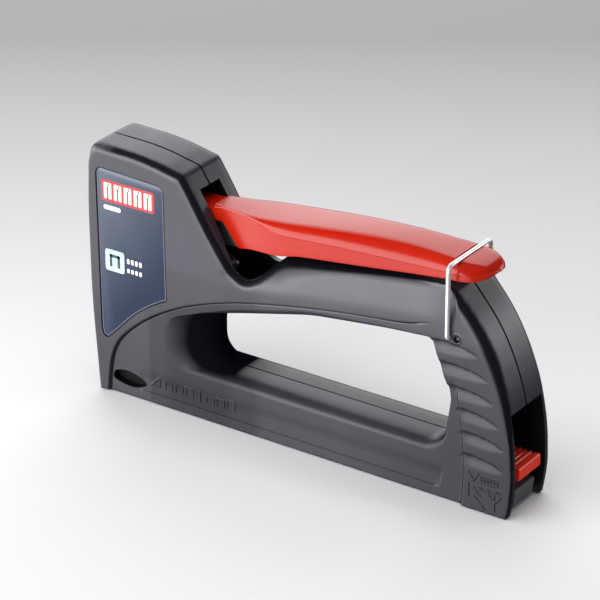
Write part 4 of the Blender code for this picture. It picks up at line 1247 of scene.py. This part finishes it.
CARRIED = {
    "nose_plate": sheet_steel, "striker_guide": sheet_steel, "spring_cap": sheet_steel,
    "magazine_channel": sheet_steel, "staple_rail": sheet_steel, "lever_arm": hard_steel,
    "rocker": hard_steel, "rocker_roller": painted_shade_steel, "plunger": hard_steel, "driver_blade": hard_steel,
    "blade_rivet": pin_steel, "lever_rivet_1": pin_steel, "lever_rivet_2": pin_steel,
    "lever_pivot_pin": pin_steel, "rocker_pivot_pin": pin_steel, "pusher_rod": pin_steel,
    "rod_stop": pin_steel, "staple_stick": staple_wire, "recoil_buffer": rubber, "rear_guide": black_plastic,
    "follower": black_plastic, "magazine_slide": slide_painted_shade, "latch_button": latch_red_painted_light,
    "lever_spring": spring_steel,
}


def carry_over():
    """Gives the CAD pieces that stay their finish and, but for the screws, soft edges."""
    for name, make in CARRIED.items():
        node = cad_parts[name]
        paint(node, make())
        bevel = node.modifiers.new("edges", "BEVEL")
        bevel.width = (0.22 if name in ("latch_button", "magazine_slide", "rear_guide") else 0.12) * MM
        bevel.segments = 2
        bevel.limit_method = "ANGLE"
        bevel.angle_limit = math.radians(38.0)
    for k in range(1, 6):
        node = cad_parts["casing_screw_%d" % k]
        paint(node, screw_steel())


# ---------------------------------------------------------------- stage

CAMERA_AZIMUTH = 34.25
CAMERA_ELEVATION = 26.08
CAMERA_TARGET = at(77.59, 0.0, 51.47)
CAMERA_DISTANCE = 1.09707
CAMERA_LENS = 193.19
FLOOR_RADII = (0.25, 0.6, 1.5, 4.0, 12.0)
# name, azimuth, elevation, distance, size and power
LIGHTS = [
    ("key", -38.0, 14.0, 0.9, (1.6, 0.56), 11.0), ("back", 214.0, 33.0, 1.0, (1.1, 1.0), 6.8),
    ("rear", 142.0, 11.0, 1.0, (0.6, 0.42), 2.3), ("overhead", 0.0, 80.0, 1.5, (1.6, 1.6), 15.0),
]
GLOW_AZIMUTH = -40.0
GLOW_STRENGTH = 2.2
# grey levels by height, from straight down (0) over the horizon (0.5) to straight up (1)
ROOM_LEVELS = [(0.0, 0.02), (0.40, 0.05), (0.50, 0.45), (0.60, 0.45), (0.72, 0.06), (1.0, 0.04)]
GLOW_LEVELS = [(0.0, 0.0), (0.12, 0.05), (0.24, 0.7), (0.30, 1.0), (0.44, 1.5), (0.54, 1.5), (0.61, 0.1),
               (1.0, 0.0)]
# and by how much a direction faces the glow's azimuth
GLOW_SIDE = [(0.0, 0.0), (0.35, 0.0), (0.75, 1.0), (1.0, 1.0)]


def direction(azimuth, elevation):
    """Azimuth 0 is towards -y and 90 towards +x."""
    a, e = math.radians(azimuth), math.radians(elevation)
    return Vector((math.sin(a) * math.cos(e), -math.cos(a) * math.cos(e), math.sin(e)))


def share_along(nodes, links, vector, way):
    """How far a vector reaches in one direction."""
    dot = nodes.new("ShaderNodeVectorMath")
    dot.operation = "DOT_PRODUCT"
    dot.inputs[1].default_value = way
    links.new(vector, dot.inputs[0])
    return dot.outputs["Value"]


def area_light(name, target, azimuth, elevation, distance, size, power):
    """A soft box that faces the target from a direction."""
    away = direction(azimuth, elevation)
    data = bpy.data.lights.new(name, "AREA")
    data.shape = "RECTANGLE"
    data.size, data.size_y = size
    data.energy = power
    light = bpy.data.objects.new(name, data)
    light.location = target + away * distance
    light.rotation_euler = away.to_track_quat("Z", "Y").to_euler()
    bpy.context.scene.collection.objects.link(light)
    return light


def floor_mesh():
    bm = bmesh.new()
    rings = [[bm.verts.new((x, y, 0.0)) for x, y in circle(0.0, 0.0, radius, 48)] for radius in FLOOR_RADII]
    bm.faces.new(rings[0])
    for low, high in zip(rings, rings[1:]):
        for i in range(48):
            j = (i + 1) % 48
            bm.faces.new((low[i], low[j], high[j], high[i]))
    bmesh.ops.recalc_face_normals(bm, faces=bm.faces)
    mesh = bpy.data.meshes.new("floor")
    bm.to_mesh(mesh)
    bm.free()
    return mesh


def floor_material():
    """Pale round the object, with painted shade that falls to a mid grey behind it as seen from the camera's
    side.
    """
    material = bpy.data.materials.new("pale_floor")
    material.use_nodes = True
    nodes, links = material.node_tree.nodes, material.node_tree.links
    shader = nodes["Principled BSDF"]
    place = nodes.new("ShaderNodeTexCoord")
    behind = share_along(nodes, links, place.outputs["Object"], -direction(CAMERA_AZIMUTH, 0.0))
    ramp = nodes.new("ShaderNodeValToRGB")
    ramp.color_ramp.elements[0].color = (0.84, 0.84, 0.85, 1.0)
    ramp.color_ramp.elements[1].color = (0.35, 0.35, 0.355, 1.0)
    links.new(mapped(nodes, links, behind, 0.02, 0.38), ramp.inputs["Fac"])
    links.new(ramp.outputs["Color"], shader.inputs["Base Color"])
    shader.inputs["Roughness"].default_value = 0.9
    shader.inputs["Specular IOR Level"].default_value = 0.0
    return material


def floor():
    """A floor that runs out to the horizon."""
    obj = bpy.data.objects.new("floor", floor_mesh())
    obj.location.z = -0.0002
    obj.data.materials.append(floor_material())
    obj.visible_glossy = False
    bpy.context.scene.collection.objects.link(obj)


def camera():
    back = direction(CAMERA_AZIMUTH, CAMERA_ELEVATION)
    data = bpy.data.cameras.new("camera")
    data.lens = CAMERA_LENS
    data.sensor_width = 36.0
    data.clip_start = 0.05
    data.clip_end = 100.0
    obj = bpy.data.objects.new("camera", data)
    obj.location = CAMERA_TARGET + back * CAMERA_DISTANCE
    obj.rotation_mode = "QUATERNION"
    obj.rotation_quaternion = (-back).to_track_quat("-Z", "Y")
    bpy.context.scene.collection.objects.link(obj)
    bpy.context.scene.camera = obj


def grey_ramp(nodes, links, value, stops):
    """Grey levels at positions from 0 to 1 of a value."""
    ramp = nodes.new("ShaderNodeValToRGB")
    elements = ramp.color_ramp.elements
    for (position, level), element in zip((stops[0], stops[-1]), (elements[0], elements[1])):
        element.position = position
        element.color = (level, level, level, 1.0)
    for position, level in stops[1:-1]:
        elements.new(position).color = (level, level, level, 1.0)
    links.new(value, ramp.inputs["Fac"])
    return ramp.outputs["Color"]


def sky():
    """A dim room, with a glow in front of the left side. Most of it is below the horizon, where the floor,
    which glossy rays do not see, hides it from all other rays."""
    world = bpy.data.worlds.new("studio")
    world.use_nodes = True
    nodes, links = world.node_tree.nodes, world.node_tree.links
    place = nodes.new("ShaderNodeTexCoord").outputs["Generated"]
    height = mapped(nodes, links, split_vector(nodes, links, place)["Z"], -1.0, 1.0)
    facing = share_along(nodes, links, place, direction(GLOW_AZIMUTH, 0.0))
    glow = nodes.new("ShaderNodeVectorMath")
    glow.operation = "MULTIPLY"
    links.new(grey_ramp(nodes, links, height, GLOW_LEVELS), glow.inputs[0])
    links.new(grey_ramp(nodes, links, facing, GLOW_SIDE), glow.inputs[1])
    room = nodes.new("ShaderNodeVectorMath")
    room.operation = "MULTIPLY_ADD"
    links.new(glow.outputs[0], room.inputs[0])
    room.inputs[1].default_value = (GLOW_STRENGTH, GLOW_STRENGTH, GLOW_STRENGTH)
    links.new(grey_ramp(nodes, links, height, ROOM_LEVELS), room.inputs[2])
    links.new(room.outputs[0], nodes["Background"].inputs["Color"])
    nodes["Background"].inputs["Strength"].default_value = 1.0
    bpy.context.scene.world = world


def studio():
    floor()
    camera()
    sky()
    for name, azimuth, elevation, distance, size, power in LIGHTS:
        light = area_light(name, at(83.0, 0.0, 50.0), azimuth, elevation, distance, size, power)
        light.visible_glossy = name != "overhead"


# ---------------------------------------------------------------- assembly

def build():
    sheet = side_sheet()
    casing_half(-1, "casing_shell_left", "casing_left", *casing_mesh(sheet, 1.0))
    casing_half(1, "casing_shell_right", "casing_right", *casing_mesh(sheet, 0.5))
    lever()
    bail()
    label(-1, "name_film_left", "label_left")
    label(1, "name_film_right", "label_right")
    springs()
    carry_over()
    studio()


build()
bpy.context.scene.view_settings.view_transform = "Standard"
